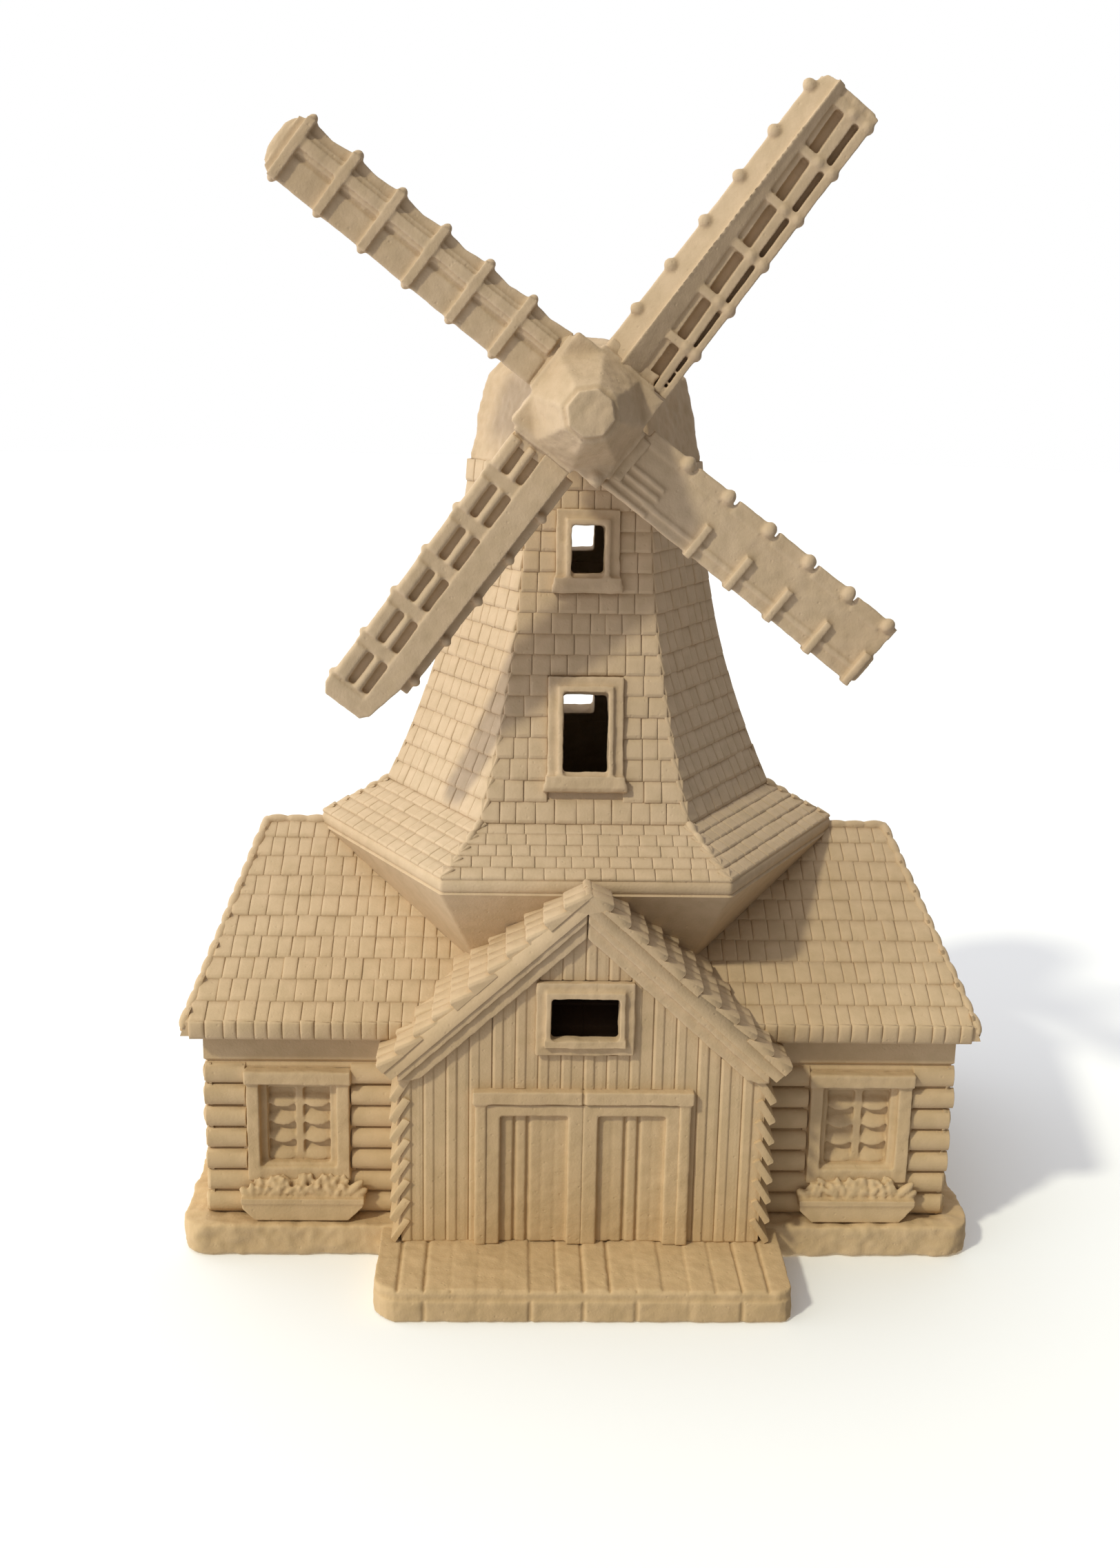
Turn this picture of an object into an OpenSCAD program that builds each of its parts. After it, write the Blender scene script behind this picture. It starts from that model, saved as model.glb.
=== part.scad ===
// Slip-cast bisque windmill: a six-sided mill tower on a house with a barn front,
// and four sails that turn on a steel axle. Lengths are in millimetres.
// The mill tower's axis stands on the Z axis of each module; placed() then moves
// the whole piece back so that the origin is under the middle of the footprint.

/* [Base] */
// How far the plinth stands out past the end walls
plinth_end = 7.5; // [7:0.5:14]
// How far the plinth stands out past the front and back walls
plinth_side = 9; // [8:0.5:14]
// Height of the plinth and of the forecourt
plinth_h = 10; // [7:0.5:13]
// Radius of the corners of the plinth and the forecourt
corner_r = 8; // [3:0.5:12]
// Width of the plinth's flange inside the walls
plinth_ledge = 3; // [2:0.5:10]
// Width of the cobbled forecourt
apron_w = 120; // [112:1:140]
// How far the forecourt reaches in front of the plinth
apron_d = 36; // [24:1:50]
// Number of cobbles along the front of the forecourt
cobbles = 9; // [5:1:14]
// Width of the joints between cobbles
cobble_joint = 1.2; // [0.6:0.1:2]
// Length of the front row of cobbles
cobble_l = 11; // [8:1:16]

/* [House walls] */
// Thickness of the cast clay walls
wall = 5; // [4:0.5:6]
// Length of the house over its end walls
house_w = 225; // [218:1:230]
// Depth of the house over its front and back walls
house_d = 134; // [128:1:138]
// Number of siding boards between the plinth and the fascia
siding_rows = 7; // [5:1:9]
// Depth of the grooves between siding boards
siding_groove = 1; // [0.5:0.1:1.5]
// Height of the plain fascia under the eaves
fascia_h = 14; // [10:1:16]

/* [Wing roofs] */
// Height of the wing roofs' ridge
ridge_z = 115; // [110:1:117]
// Height of the top edge of the eaves
eave_z = 73.5; // [72:0.5:76]
// How far the eaves reach past the front and back walls
eave_reach = 7; // [5:0.5:9]
// Thickness of the eaves' edge
eave_t = 3.5; // [2.5:0.5:5]
// Thickness of the wing roofs, measured upright
roof_t = 4.5; // [4:0.5:6]
// How far the hipped ends reach past the end walls at the eaves
hip_reach = 4; // [3:0.5:7]
// How far the hipped ends lean in from eaves to ridge
hip_in = 15; // [10:1:20]
// Number of shingle courses on each slope
roof_courses = 10; // [6:1:14]
// Height of a shingle's butt edge
shingle = 0.8; // [0.4:0.1:1.2]

/* [Barn] */
// Width of the barn over its side walls
barn_w = 106; // [100:1:110]
// How far the barn's front stands ahead of the house front
barn_reach = 16.4; // [14:0.2:20]
// Height of the barn's ridge
barn_ridge_z = 118.5; // [117:0.5:122]
// Height of the top edge of the barn's eaves
barn_eave_z = 65.5; // [63:0.5:67]
// How far the barn's eaves reach past its side walls
barn_eave_reach = 5; // [3:0.5:7]
// Thickness of the barn roof, measured upright
barn_roof_t = 5.4; // [4.5:0.1:7]
// How far the barn roof reaches past the barn's front
barn_verge = 4; // [3:0.5:6]
// Number of shingle courses on each barn slope
barn_courses = 11; // [7:1:15]
// Number of upright boards on the barn front
planks = 16; // [10:1:24]
// Depth and width of the grooves between boards
plank_groove = 0.8; // [0.4:0.1:1.2]
// Upright height of the barge boards
barge_h = 6.5; // [4:0.5:8]
// Thickness of the barge boards
barge_t = 2.5; // [1.5:0.5:3]

/* [Barn doors] */
// Width of the door frame
door_w = 63; // [50:1:70]
// Height of the door frame above the plinth
door_h = 48; // [40:1:52]
// Width of the posts and height of the lintel
door_post = 3.5; // [2.5:0.5:6]
// How far the door frame stands proud of the barn front
door_proud = 2.5; // [1:0.5:4]
// Width of the stiles and the top rail of a leaf
door_stile = 4.6; // [3:0.2:6]
// Depth of the panel in a leaf
door_recess = 1.2; // [0.6:0.2:2]
// Number of battens in each leaf
door_battens = 4; // [2:1:6]

/* [Windows] */
// Width of the gable window's frame
gable_w = 28.6; // [24:0.2:32]
// Height of the gable window's frame
gable_h = 22.4; // [18:0.2:24]
// Height of the foot of the gable window's frame
gable_z = 69.4; // [66:0.2:72]
// Width of the gable window's border
gable_border = 4.3; // [3:0.1:5]
// Distance of the house windows from the end walls
window_in = 28; // [26:0.5:30]
// Width of a house window's frame
window_w = 34; // [28:1:38]
// Height of a house window's frame
window_h = 36; // [30:1:37]
// Width of a house window's border
window_border = 5; // [3:0.5:6]
// How far window frames stand proud of the wall
frame_proud = 3; // [1.5:0.5:4]
// Thickness of a window's sash
sash_t = 4; // [3:0.5:5]
// Width of the glazing bars
glazing_bar = 1.6; // [1:0.2:2.4]
// Width of a flower box at its top
box_w = 36; // [30:1:40]
// How far each end of a flower box slopes in
box_slope = 4; // [2:0.5:6]
// Height of a flower box
box_h = 11; // [8:0.5:12]
// Depth of a flower box
box_d = 7; // [6:0.5:9]
// Number of blooms in a flower box
blooms = 7; // [4:1:8]

/* [Tower] */
// Height of the lower rim of the tower's tapered foot
hopper_z = 80; // [76:1:84]
// Distance across the flats of the tapered foot's lower rim
hopper_af = 102; // [98:1:110]
// Distance across the flats of the skirt
skirt_af = 145.5; // [140:0.5:150]
// Height of the upper edge of the skirt's rim
skirt_z = 118; // [116:0.5:120]
// Thickness of the skirt's rim
skirt_t = 4.3; // [3.5:0.1:5]
// Height where the skirt meets the tower
tower_foot_z = 129.5; // [127:0.5:133]
// Distance across the flats where the skirt meets the tower
tower_foot_af = 106.6; // [100:0.2:110]
// Height of the top of the tower, where the cap sits
tower_top_z = 232; // [226:1:236]
// Distance across the flats at the top of the tower
tower_top_af = 63; // [60:0.5:68]
// Number of shingle courses on the tower
tower_courses = 17; // [10:1:22]
// Number of shingle courses on the skirt
skirt_courses = 5; // [3:1:8]

/* [Tower windows] */
// Width of the openings of the lower windows
low_open_w = 13.6; // [10:0.2:16]
// Height of the openings of the lower windows
low_open_h = 22.6; // [18:0.2:26]
// Height of the foot of the lower openings above the tower's foot
low_open_up = 14.7; // [13:0.1:18]
// Width of the openings of the upper windows
high_open_w = 10; // [8:0.2:12]
// Height of the openings of the upper windows
high_open_h = 14.2; // [11:0.2:16]
// Depth of the foot of the upper openings below the tower's top
high_open_down = 30.2; // [28:0.2:34]
// Width of the border round the tower windows
tower_border = 4.6; // [3:0.2:5.6]
// How far the sills stand ahead of their frames
sill = 1.4; // [0.6:0.2:2]
// Height of the sills
sill_h = 4; // [2:0.5:5]

/* [Cap] */
// Height of the cap's wall, from the tower's top to the shoulder
cap_wall_h = 21; // [20:0.5:24]
// Distance across the flats at the cap's shoulder
shoulder_af = 56.4; // [52:0.4:60]
// Height of the cap's dome above the shoulder
dome_h = 17; // [14:1:22]
// Radius of the bearing neck on the cap's front
neck_r = 9; // [7.5:0.5:11]
// How far the neck's face stands ahead of the tower's axis
neck_y = 48; // [44:1:50]

/* [Axle] */
// Distance of the axle hole from the tower's middle, to the right
axle_x = -2.4; // [-4:0.2:4]
// Height of the axle above the tower's top
axle_up = 18; // [16:0.5:19]
// Diameter of the steel axle
axle_d = 4; // [3:0.5:5]
// Play between axle and bush, on the radius
axle_play = 0.05; // [0.02:0.01:0.1]
// Outer diameter of the brass bush
bush_d = 8; // [7:0.5:9]
// Diameter of the bush's flange
flange_d = 13; // [11:0.5:14]
// Thickness of the flange and of the washers
washer_t = 1; // [0.6:0.1:1.4]
// How far the bush reaches back from the neck's face
bush_l = 26; // [24:1:30]
// Diameter of the washers and the collar
collar_d = 10; // [9:0.5:12]
// Length of the retaining collar
collar_l = 4; // [3:0.5:6]
// How far the axle's tail stands out of the collar
axle_tail = 2; // [1:0.5:4]
// End play between the sails and the bush
end_play = 0.25; // [0.15:0.05:0.4]

/* [Hub] */
// Side of the square hub block that carries the sails
hub_w = 30; // [28:1:34]
// How far the hub block's front stands ahead of its back
hub_l = 17; // [16:0.5:20]
// Distance across the flats at the back of the eight-sided nose
nose_af = 30; // [26:1:34]
// Distance across the flats at the front of the nose
nose_front_af = 15; // [13:0.5:18]
// Length of the nose
nose_l = 16; // [12:1:20]
// Distance across the flats of the boss on the nose
boss_af = 12.4; // [10:0.2:14]
// Length of the boss
boss_l = 4; // [2:0.5:6]
// Depth of the axle's hole in the hub
axle_seat = 24; // [16:1:30]

/* [Sails] */
// Angle of the first sail above the horizontal
sail_angle = 52.8; // [0:0.2:90]
// Distance from the axle to the sail tips
sail_r = 107; // [90:1:108]
// How far the sails' backs stand ahead of the tower's axis
sail_y = 60; // [58:0.5:61]
// Thickness of a sail's sheet
sheet_t = 3; // [2:0.2:3.4]
// Height of the bars on the sheet
bar_h = 2.2; // [1.4:0.2:3]
// Width of the bars
bar_w = 2.4; // [1.6:0.2:3]
// Number of bars on each sail
bars = 6; // [4:1:8]
// Distance from the axle to the first bar
bar_start = 29.5; // [26:0.5:32]
// Distance from the last bar to the sail's tip
bar_end = 4.5; // [4:0.5:8]
// Height of the spars on the sheet
spar_h = 4; // [2.4:0.2:4.6]
// Width of the spars at the hub
spar_w = 7; // [5:0.5:8]
// Width of the spars at the sail's tip
spar_tip_w = 4.5; // [3:0.5:6]
// Width of the laths along the lattice sails
lath_w = 2; // [1.4:0.2:2.6]
// Radius of the knobs at the bars' ends
knob_r = 1.7; // [1.2:0.1:2]
// Width of the sails on the side that trails
trail_w = 14.5; // [12:0.1:14.8]
// Width of the sails on the side that leads
lead_w = 7; // [6:0.1:9]
// Width of the leading side of the sheet that is drawn over its bars
over_lead_w = 4.5; // [4:0.1:6]
// How much is cut off the sails' outer corners
tip_cut = 3; // [1:0.5:5]

/* [Hidden] */
// Joint that is filled with slip when cast pieces are set together
slip = 0.1;
// How far a cutting shape stands out of what it cuts
lap = 1;
$fn = 64;
clay = "#dcc39a";
clay_dark = "#c9ad84";
steel = "#a9adb2";
brass = "#c6a35a";

hex_corner = 1 / cos(30);
plinth_w = house_w + 2 * plinth_end;
plinth_d = house_d + 2 * plinth_side;
house_x = house_w / 2;
house_y = house_d / 2;
eave_y = house_y + eave_reach;
eave_base = eave_z - eave_t;
roof_slope = (ridge_z - eave_z) / eave_y;
hip_lean = hip_in / (ridge_z - eave_z);
barn_x = barn_w / 2;
barn_y = house_y + barn_reach;
barn_eave_x = barn_x + barn_eave_reach;
barn_slope = (barn_ridge_z - barn_eave_z) / barn_eave_x;
fascia_z = roof_under(house_y) - fascia_h;
window_x = house_x - window_in;
window_z = plinth_h + box_h + 2 * slip;
low_w = low_open_w + 2 * tower_border;
low_h = low_open_h + 2 * tower_border;
low_z = tower_foot_z + low_open_up - tower_border;
high_w = high_open_w + 2 * tower_border;
high_h = high_open_h + 2 * tower_border;
high_z = tower_top_z - high_open_down - tower_border;
skirt_base = skirt_z - skirt_t;
shoulder_z = tower_top_z + cap_wall_h;
axle_z = tower_top_z + axle_up;
hub_back = neck_y + 2 * washer_t + end_play;
hub_front = hub_back + hub_l;
nose_front = hub_front + nose_l;
axle_front = hub_back + axle_seat;
bush_back = neck_y - bush_l;
collar_front = bush_back - end_play - washer_t;
axle_back = collar_front - collar_l - axle_tail;
sail_root = hub_w / 2 + slip;
bar_pitch = (sail_r - bar_end - bar_start) / (bars - 1);
lath_z = -(trail_w + spar_w / 2) / 2;
foot_lean = (skirt_af - hopper_af) / 2 / (skirt_base - hopper_z);
foot_inset = wall * sqrt(1 + foot_lean * foot_lean);

function roof_top(y) = ridge_z - roof_slope * abs(y);
function roof_under(y) = roof_top(y) - roof_t;
function hip_x(z) = house_x + hip_reach - hip_lean * (z - eave_z);
function barn_top(x) = barn_ridge_z - barn_slope * abs(x);
function barn_under(x) = barn_top(x) - barn_roof_t;
function tower_half(z) = tower_top_af / 2
    + (tower_foot_af - tower_top_af) / 2 * pow((tower_top_z - z) / (tower_top_z - tower_foot_z), 2);
function skirt_half(t) = (skirt_af + (tower_foot_af - skirt_af) * t) / 2;
function skirt_height(t) = skirt_z + (tower_foot_z - skirt_z) * t;
function hexed(points) = [for (p = points) [p[0] * hex_corner, p[1]]];
function mirrored(points) = [for (i = [len(points) - 1 : -1 : 0]) [-points[i][0], points[i][1]]];

// The origin lies midway between the back of the plinth and the front of the forecourt.
module placed() {
    translate([0, apron_d / 2, 0]) children();
}

// An outline drawn in Y and Z, drawn out along X.
module along_x(x0, x1) {
    translate([x0, 0, 0]) rotate([90, 0, 90]) linear_extrude(x1 - x0) children();
}

// An outline drawn in X and Z, drawn out along Y.
module along_y(y0, y1) {
    translate([0, y1, 0]) rotate([90, 0, 0]) linear_extrude(y1 - y0) children();
}

// A bar about the axle's own line, from y0 back to y1.
module on_axle(y0, y1, r) {
    translate([axle_x, y1, axle_z]) rotate([90, 0, 0]) cylinder(h = y1 - y0, r = r);
}

// A six-sided ring or dome: its outline holds half the distance across the flats, and the height.
module six_sided(points) {
    rotate_extrude($fn = 6) polygon(hexed(points));
}

module rounded(w, d, r) {
    square([w - 2 * r, d], center = true);
    square([w, d - 2 * r], center = true);
    for (x = [-1, 1], y = [-1, 1]) {
        translate([x * (w / 2 - r), y * (d / 2 - r)]) circle(r);
    }
}

// Plinth: a flat flange all round, open in the middle as a cast piece is.
module plinth() {
    color(clay) placed() difference() {
        linear_extrude(plinth_h) rounded(plinth_w, plinth_d, corner_r);
        translate([0, 0, -lap]) linear_extrude(plinth_h + 2 * lap)
            square([house_w, house_d] - 2 * (wall + plinth_ledge) * [1, 1], center = true);
    }
}

// Forecourt: a cobbled slab in front of the barn.
module apron() {
    y0 = -plinth_d / 2 - apron_d;
    pitch = apron_w / cobbles;
    color(clay) placed() difference() {
        linear_extrude(plinth_h) {
            translate([-apron_w / 2, y0 + corner_r])
                square([apron_w, apron_d - corner_r - slip]);
            translate([0, y0 + corner_r]) square([apron_w - 2 * corner_r, 2 * corner_r], center = true);
            for (x = [-1, 1]) {
                translate([x * (apron_w / 2 - corner_r), y0 + corner_r]) circle(corner_r);
            }
        }
        for (i = [1 : cobbles - 1]) {
            x = -apron_w / 2 + i * pitch - cobble_joint / 2;
            translate([x, y0 - lap, -lap]) cube([cobble_joint, lap + cobble_joint, plinth_h + 2 * lap]);
            translate([x, y0 - lap, plinth_h - cobble_joint / 2])
                cube([cobble_joint, cobble_l + lap, plinth_h]);
        }
        translate([-apron_w, y0 + cobble_l, plinth_h - cobble_joint / 2])
            cube([2 * apron_w, cobble_joint, plinth_h]);
    }
}

// Room under the wing roofs, down to the ground.
module wing_room(gap) {
    intersection() {
        along_x(-house_x - hip_reach - hip_in, house_x + hip_reach + hip_in) polygon([
            [-eave_y - lap, -lap], [-eave_y - lap, roof_under(eave_y + lap) - gap],
            [0, roof_under(0) - gap],
            [eave_y + lap, roof_under(eave_y + lap) - gap], [eave_y + lap, -lap]
        ]);
        along_y(-eave_y - 2 * lap, eave_y + 2 * lap) polygon([
            [-hip_x(-lap) + roof_t + gap, -lap], [-hip_x(ridge_z) + roof_t + gap, ridge_z],
            [hip_x(ridge_z) - roof_t - gap, ridge_z], [hip_x(-lap) - roof_t - gap, -lap]
        ]);
    }
}

// Grooves of the siding on the front, the back and one end.
module siding_grooves() {
    row = (fascia_z - plinth_h) / siding_rows;
    side = siding_groove * sqrt(2);
    for (i = [1 : siding_rows], y = [-house_y, house_y]) {
        translate([-house_x / 2, y, plinth_h + i * row]) rotate([45, 0, 0])
            cube([house_w, side, side], center = true);
    }
    for (i = [1 : siding_rows]) {
        translate([-house_x, 0, plinth_h + i * row]) rotate([0, 45, 0])
            cube([side, house_d + 2 * lap, side], center = true);
    }
}

// Walls of one wing: front, end and half of the back, with a hole for the window.
module wing_walls() {
    b = barn_x + slip;
    difference() {
        intersection() {
            translate([0, 0, plinth_h]) linear_extrude(ridge_z) polygon([
                [-slip / 2, house_y], [-house_x, house_y], [-house_x, -house_y], [-b, -house_y],
                [-b, wall - house_y], [wall - house_x, wall - house_y],
                [wall - house_x, house_y - wall], [-slip / 2, house_y - wall]
            ]);
            wing_room(slip);
        }
        siding_grooves();
        translate([-window_x - window_w / 2 - slip, -house_y - lap, window_z - slip])
            cube([window_w + 2 * slip, wall + 2 * lap, window_h + 2 * slip]);
    }
}

module left_wing_walls() {
    color(clay) placed() wing_walls();
}

module right_wing_walls() {
    color(clay) placed() mirror([1, 0, 0]) wing_walls();
}

// Solid space that tower and skirt take up where they pass through the roofs.
module tower_space(gap) {
    six_sided([
        [0, hopper_z - wall], [hopper_af / 2 + gap, hopper_z - wall], [hopper_af / 2 + gap, hopper_z],
        [skirt_af / 2 + gap, skirt_base], [skirt_af / 2 + gap, skirt_z + shingle + gap],
        [tower_foot_af / 2 + shingle + gap, tower_foot_z + gap], [0, tower_foot_z + gap]
    ]);
}

// Roof of one wing: two shingled slopes and a hipped end, cut round the tower's foot.
module wing_roof() {
    run = eave_y / roof_courses;
    slope = [for (i = [0 : roof_courses - 1]) each [
        [-eave_y + i * run, roof_top(eave_y - i * run) + shingle],
        [-eave_y + (i + 1) * run, roof_top(eave_y - (i + 1) * run)]
    ]];
    difference() {
        intersection() {
            along_x(-house_x - hip_reach - hip_in, -slip / 2)
                polygon(concat([[-eave_y, eave_base]], slope, mirrored(slope), [[eave_y, eave_base]]));
            along_y(-eave_y - lap, eave_y + lap) polygon([
                [-hip_x(eave_base), eave_base], [-hip_x(ridge_z + lap), ridge_z + lap],
                [0, ridge_z + lap], [0, eave_base]
            ]);
        }
        wing_room(0);
        tower_space(slip);
    }
}

module left_wing_roof() {
    color(clay) placed() wing_roof();
}

module right_wing_roof() {
    color(clay) placed() mirror([1, 0, 0]) wing_roof();
}

// Barn: boarded front with a gable, and two short side walls back to the house.
module barn_walls() {
    back = wall - house_y;
    inner = barn_x - wall;
    pitch = barn_w / planks;
    color(clay) placed() difference() {
        intersection() {
            translate([0, 0, plinth_h]) linear_extrude(barn_ridge_z) polygon([
                [-barn_x, back], [-barn_x, -barn_y], [barn_x, -barn_y], [barn_x, back],
                [inner, back], [inner, wall - barn_y], [-inner, wall - barn_y], [-inner, back]
            ]);
            along_y(-barn_y - lap, 0) polygon([
                [-barn_w, 0], [-barn_w, barn_under(barn_w) - slip], [0, barn_under(0) - slip],
                [barn_w, barn_under(barn_w) - slip], [barn_w, 0]
            ]);
        }
        for (i = [1 : planks - 1]) {
            translate([-barn_x + i * pitch - plank_groove / 2, -barn_y - lap, 0])
                cube([plank_groove, lap + plank_groove, barn_ridge_z]);
        }
        translate([-door_w / 2 - slip, -barn_y - lap, 0])
            cube([door_w + 2 * slip, wall + 2 * lap, plinth_h + door_h + slip]);
        translate([-gable_w / 2 - slip, -barn_y - lap, gable_z - slip])
            cube([gable_w + 2 * slip, wall + 2 * lap, gable_h + 2 * slip]);
    }
}

// Barn roof: two shingled slopes that run back to the wing roofs and the tower's foot.
module barn_roof() {
    run = barn_eave_x / barn_courses;
    slope = [for (i = [0 : barn_courses - 1]) each [
        [-barn_eave_x + i * run, barn_top(barn_eave_x - i * run) + shingle],
        [-barn_eave_x + (i + 1) * run, barn_top(barn_eave_x - (i + 1) * run)]
    ]];
    under = [[-barn_eave_x, barn_under(barn_eave_x)]];
    reach = eave_y + slip;
    rise = shingle + slip;
    color(clay) placed() difference() {
        along_y(-barn_y - barn_verge, 0)
            polygon(concat(under, slope, mirrored(slope), mirrored(under), [[0, barn_under(0)]]));
        along_x(-barn_w, barn_w) polygon([
            [-reach, eave_base - slip], [-reach, eave_z + rise], [0, ridge_z + rise],
            [reach, eave_z + rise], [reach, eave_base - slip]
        ]);
        translate([-barn_w, -house_y - slip, 0]) cube([2 * barn_w, house_d, eave_z]);
        tower_space(slip);
    }
}

// Barge board under one verge of the barn roof.
module barge_board() {
    top = barn_under(0) - slip;
    drop = barn_slope * barn_eave_x;
    along_y(-barn_y - slip - barge_t, -barn_y - slip) polygon([
        [-slip / 2, top], [-slip / 2, top - barge_h],
        [-barn_eave_x, top - barge_h - drop], [-barn_eave_x, top - drop]
    ]);
}

module left_barge_board() {
    color(clay_dark) placed() barge_board();
}

module right_barge_board() {
    color(clay_dark) placed() mirror([1, 0, 0]) barge_board();
}

// A plain four-sided frame, seen from the front, from y0 back to y1.
module border_frame(w, h, border, y0, y1) {
    along_y(y0, y1) difference() {
        translate([-w / 2, 0]) square([w, h]);
        translate([border - w / 2, border]) square([w, h] - 2 * border * [1, 1]);
    }
}

module gable_window_frame() {
    color(clay) placed() translate([0, 0, gable_z])
        border_frame(gable_w, gable_h, gable_border, -barn_y - frame_proud, wall - barn_y);
}

// Door frame: two posts and a lintel, set in the barn front.
module door_frame() {
    color(clay) placed() along_y(-barn_y - door_proud, wall - barn_y) difference() {
        translate([-door_w / 2, plinth_h + slip]) square([door_w, door_h - slip]);
        translate([door_post - door_w / 2, 0])
            square([door_w - 2 * door_post, plinth_h + door_h - door_post]);
    }
}

// One leaf of the barn doors, moulded shut: stiles, a top rail and a battened panel.
module door_leaf() {
    w = door_w / 2 - door_post - 1.5 * slip;
    h = door_h - door_post - 2 * slip;
    panel_w = w - 2 * door_stile;
    pitch = panel_w / door_battens;
    translate([-w - slip / 2, -barn_y, plinth_h + slip]) difference() {
        cube([w, wall, h]);
        translate([door_stile, -lap, -lap]) cube([panel_w, lap + door_recess, h - door_stile + lap]);
        for (i = [1 : door_battens - 1]) {
            translate([door_stile + i * pitch - plank_groove / 2, -lap, -lap])
                cube([plank_groove, lap + door_recess + plank_groove, h - door_stile + lap]);
        }
    }
}

module left_door() {
    color(clay) placed() door_leaf();
}

module right_door() {
    color(clay) placed() mirror([1, 0, 0]) door_leaf();
}

// House window: a proud frame, a sash of two by four panes, and a flower box below.
module window_frame() {
    translate([-window_x, 0, window_z])
        border_frame(window_w, window_h, window_border, -house_y - frame_proud, wall - house_y);
}

module window_sash() {
    w = window_w - 2 * (window_border + slip);
    h = window_h - 2 * (window_border + slip);
    pane_w = (w - 3 * glazing_bar) / 2;
    pane_h = (h - 5 * glazing_bar) / 4;
    translate([-window_x - w / 2, wall - house_y - sash_t, window_z + window_border + slip]) difference() {
        cube([w, sash_t, h]);
        for (i = [0, 1], j = [0 : 3]) {
            x = glazing_bar + i * (pane_w + glazing_bar);
            z = glazing_bar + j * (pane_h + glazing_bar);
            translate([x, -lap, z]) cube([pane_w, lap + glazing_bar, pane_h]);
        }
    }
}

module flower_box() {
    foot = box_w / 2 - box_slope;
    bloom_r = (box_d - frame_proud) / 2 - slip;
    bloom_y = -house_y - frame_proud - slip - bloom_r;
    top = plinth_h + box_h;
    translate([-window_x, 0, 0]) {
        along_y(-house_y - box_d, -house_y - slip) polygon([
            [-foot, plinth_h + slip], [foot, plinth_h + slip],
            [box_w / 2, plinth_h + box_slope], [box_w / 2, top],
            [-box_w / 2, top], [-box_w / 2, plinth_h + box_slope]
        ]);
        for (i = [0 : blooms - 1]) {
            translate([(i - (blooms - 1) / 2) * (box_w - 3 * bloom_r) / (blooms - 1), bloom_y, top])
                sphere(bloom_r);
        }
    }
}

module left_window_frame() {
    color(clay) placed() window_frame();
}

module left_window_sash() {
    color(clay_dark) placed() window_sash();
}

module left_flower_box() {
    color(clay) placed() flower_box();
}

module right_window_frame() {
    color(clay) placed() mirror([1, 0, 0]) window_frame();
}

module right_window_sash() {
    color(clay_dark) placed() mirror([1, 0, 0]) window_sash();
}

module right_flower_box() {
    color(clay) placed() mirror([1, 0, 0]) flower_box();
}

// Tapered foot of the tower, a six-sided funnel that sits down through the roofs.
module tower_foot() {
    color(clay) placed() six_sided([
        [hopper_af / 2, hopper_z], [skirt_af / 2, skirt_base - slip],
        [skirt_af / 2 - foot_inset, skirt_base - slip], [hopper_af / 2 - foot_inset, hopper_z]
    ]);
}

// Tower: six shingled faces that flare to a skirt, hollow, with windows front and back.
module tower_shell() {
    course = (tower_top_z - tower_foot_z) / tower_courses;
    skirt = [for (i = [0 : skirt_courses - 1]) each [
        [skirt_half(i / skirt_courses), skirt_height(i / skirt_courses) + shingle],
        [skirt_half((i + 1) / skirt_courses), skirt_height((i + 1) / skirt_courses)]
    ]];
    body = [for (i = [0 : tower_courses - 1]) each [
        [tower_half(tower_foot_z + i * course) + shingle, tower_foot_z + i * course + shingle],
        [tower_half(tower_foot_z + (i + 1) * course), tower_foot_z + (i + 1) * course]
    ]];
    steps = 5;
    inside = [for (i = [steps : -1 : 0])
        let (z = tower_foot_z + (tower_top_z - tower_foot_z) * i / steps) [tower_half(z) - wall, z]];
    color(clay) placed() difference() {
        six_sided(concat(
            [[skirt_af / 2, skirt_base]], skirt, body, inside,
            [[skirt_af / 2 - foot_inset, skirt_base]]
        ));
        translate([-low_w / 2 - slip, -skirt_af, low_z - slip])
            cube([low_w + 2 * slip, 2 * skirt_af, low_h + 2 * slip]);
        translate([-high_w / 2 - slip, -skirt_af, high_z - slip])
            cube([high_w + 2 * slip, 2 * skirt_af, high_h + 2 * slip]);
    }
}

// Frame of a tower window: it leans with the tower's face and has a deeper sill.
module tower_frame(open_w, open_h, w, h, z0) {
    z1 = z0 + h;
    face = function (z) -tower_half(z) - frame_proud;
    difference() {
        along_x(-w / 2, w / 2) polygon([
            [wall - tower_half(z0), z0], [wall - tower_half(z1), z1], [face(z1), z1],
            [face(z0 + sill_h), z0 + sill_h], [face(z0 + sill_h) - sill, z0 + sill_h],
            [face(z0) - sill, z0]
        ]);
        translate([-open_w / 2, -skirt_af, z0 + tower_border]) cube([open_w, skirt_af, open_h]);
    }
}

module lower_frame() {
    tower_frame(low_open_w, low_open_h, low_w, low_h, low_z);
}

module upper_frame() {
    tower_frame(high_open_w, high_open_h, high_w, high_h, high_z);
}

module lower_front_frame() {
    color(clay) placed() lower_frame();
}

module upper_front_frame() {
    color(clay) placed() upper_frame();
}

module lower_rear_frame() {
    color(clay) placed() mirror([0, 1, 0]) lower_frame();
}

module upper_rear_frame() {
    color(clay) placed() mirror([0, 1, 0]) upper_frame();
}

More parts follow.
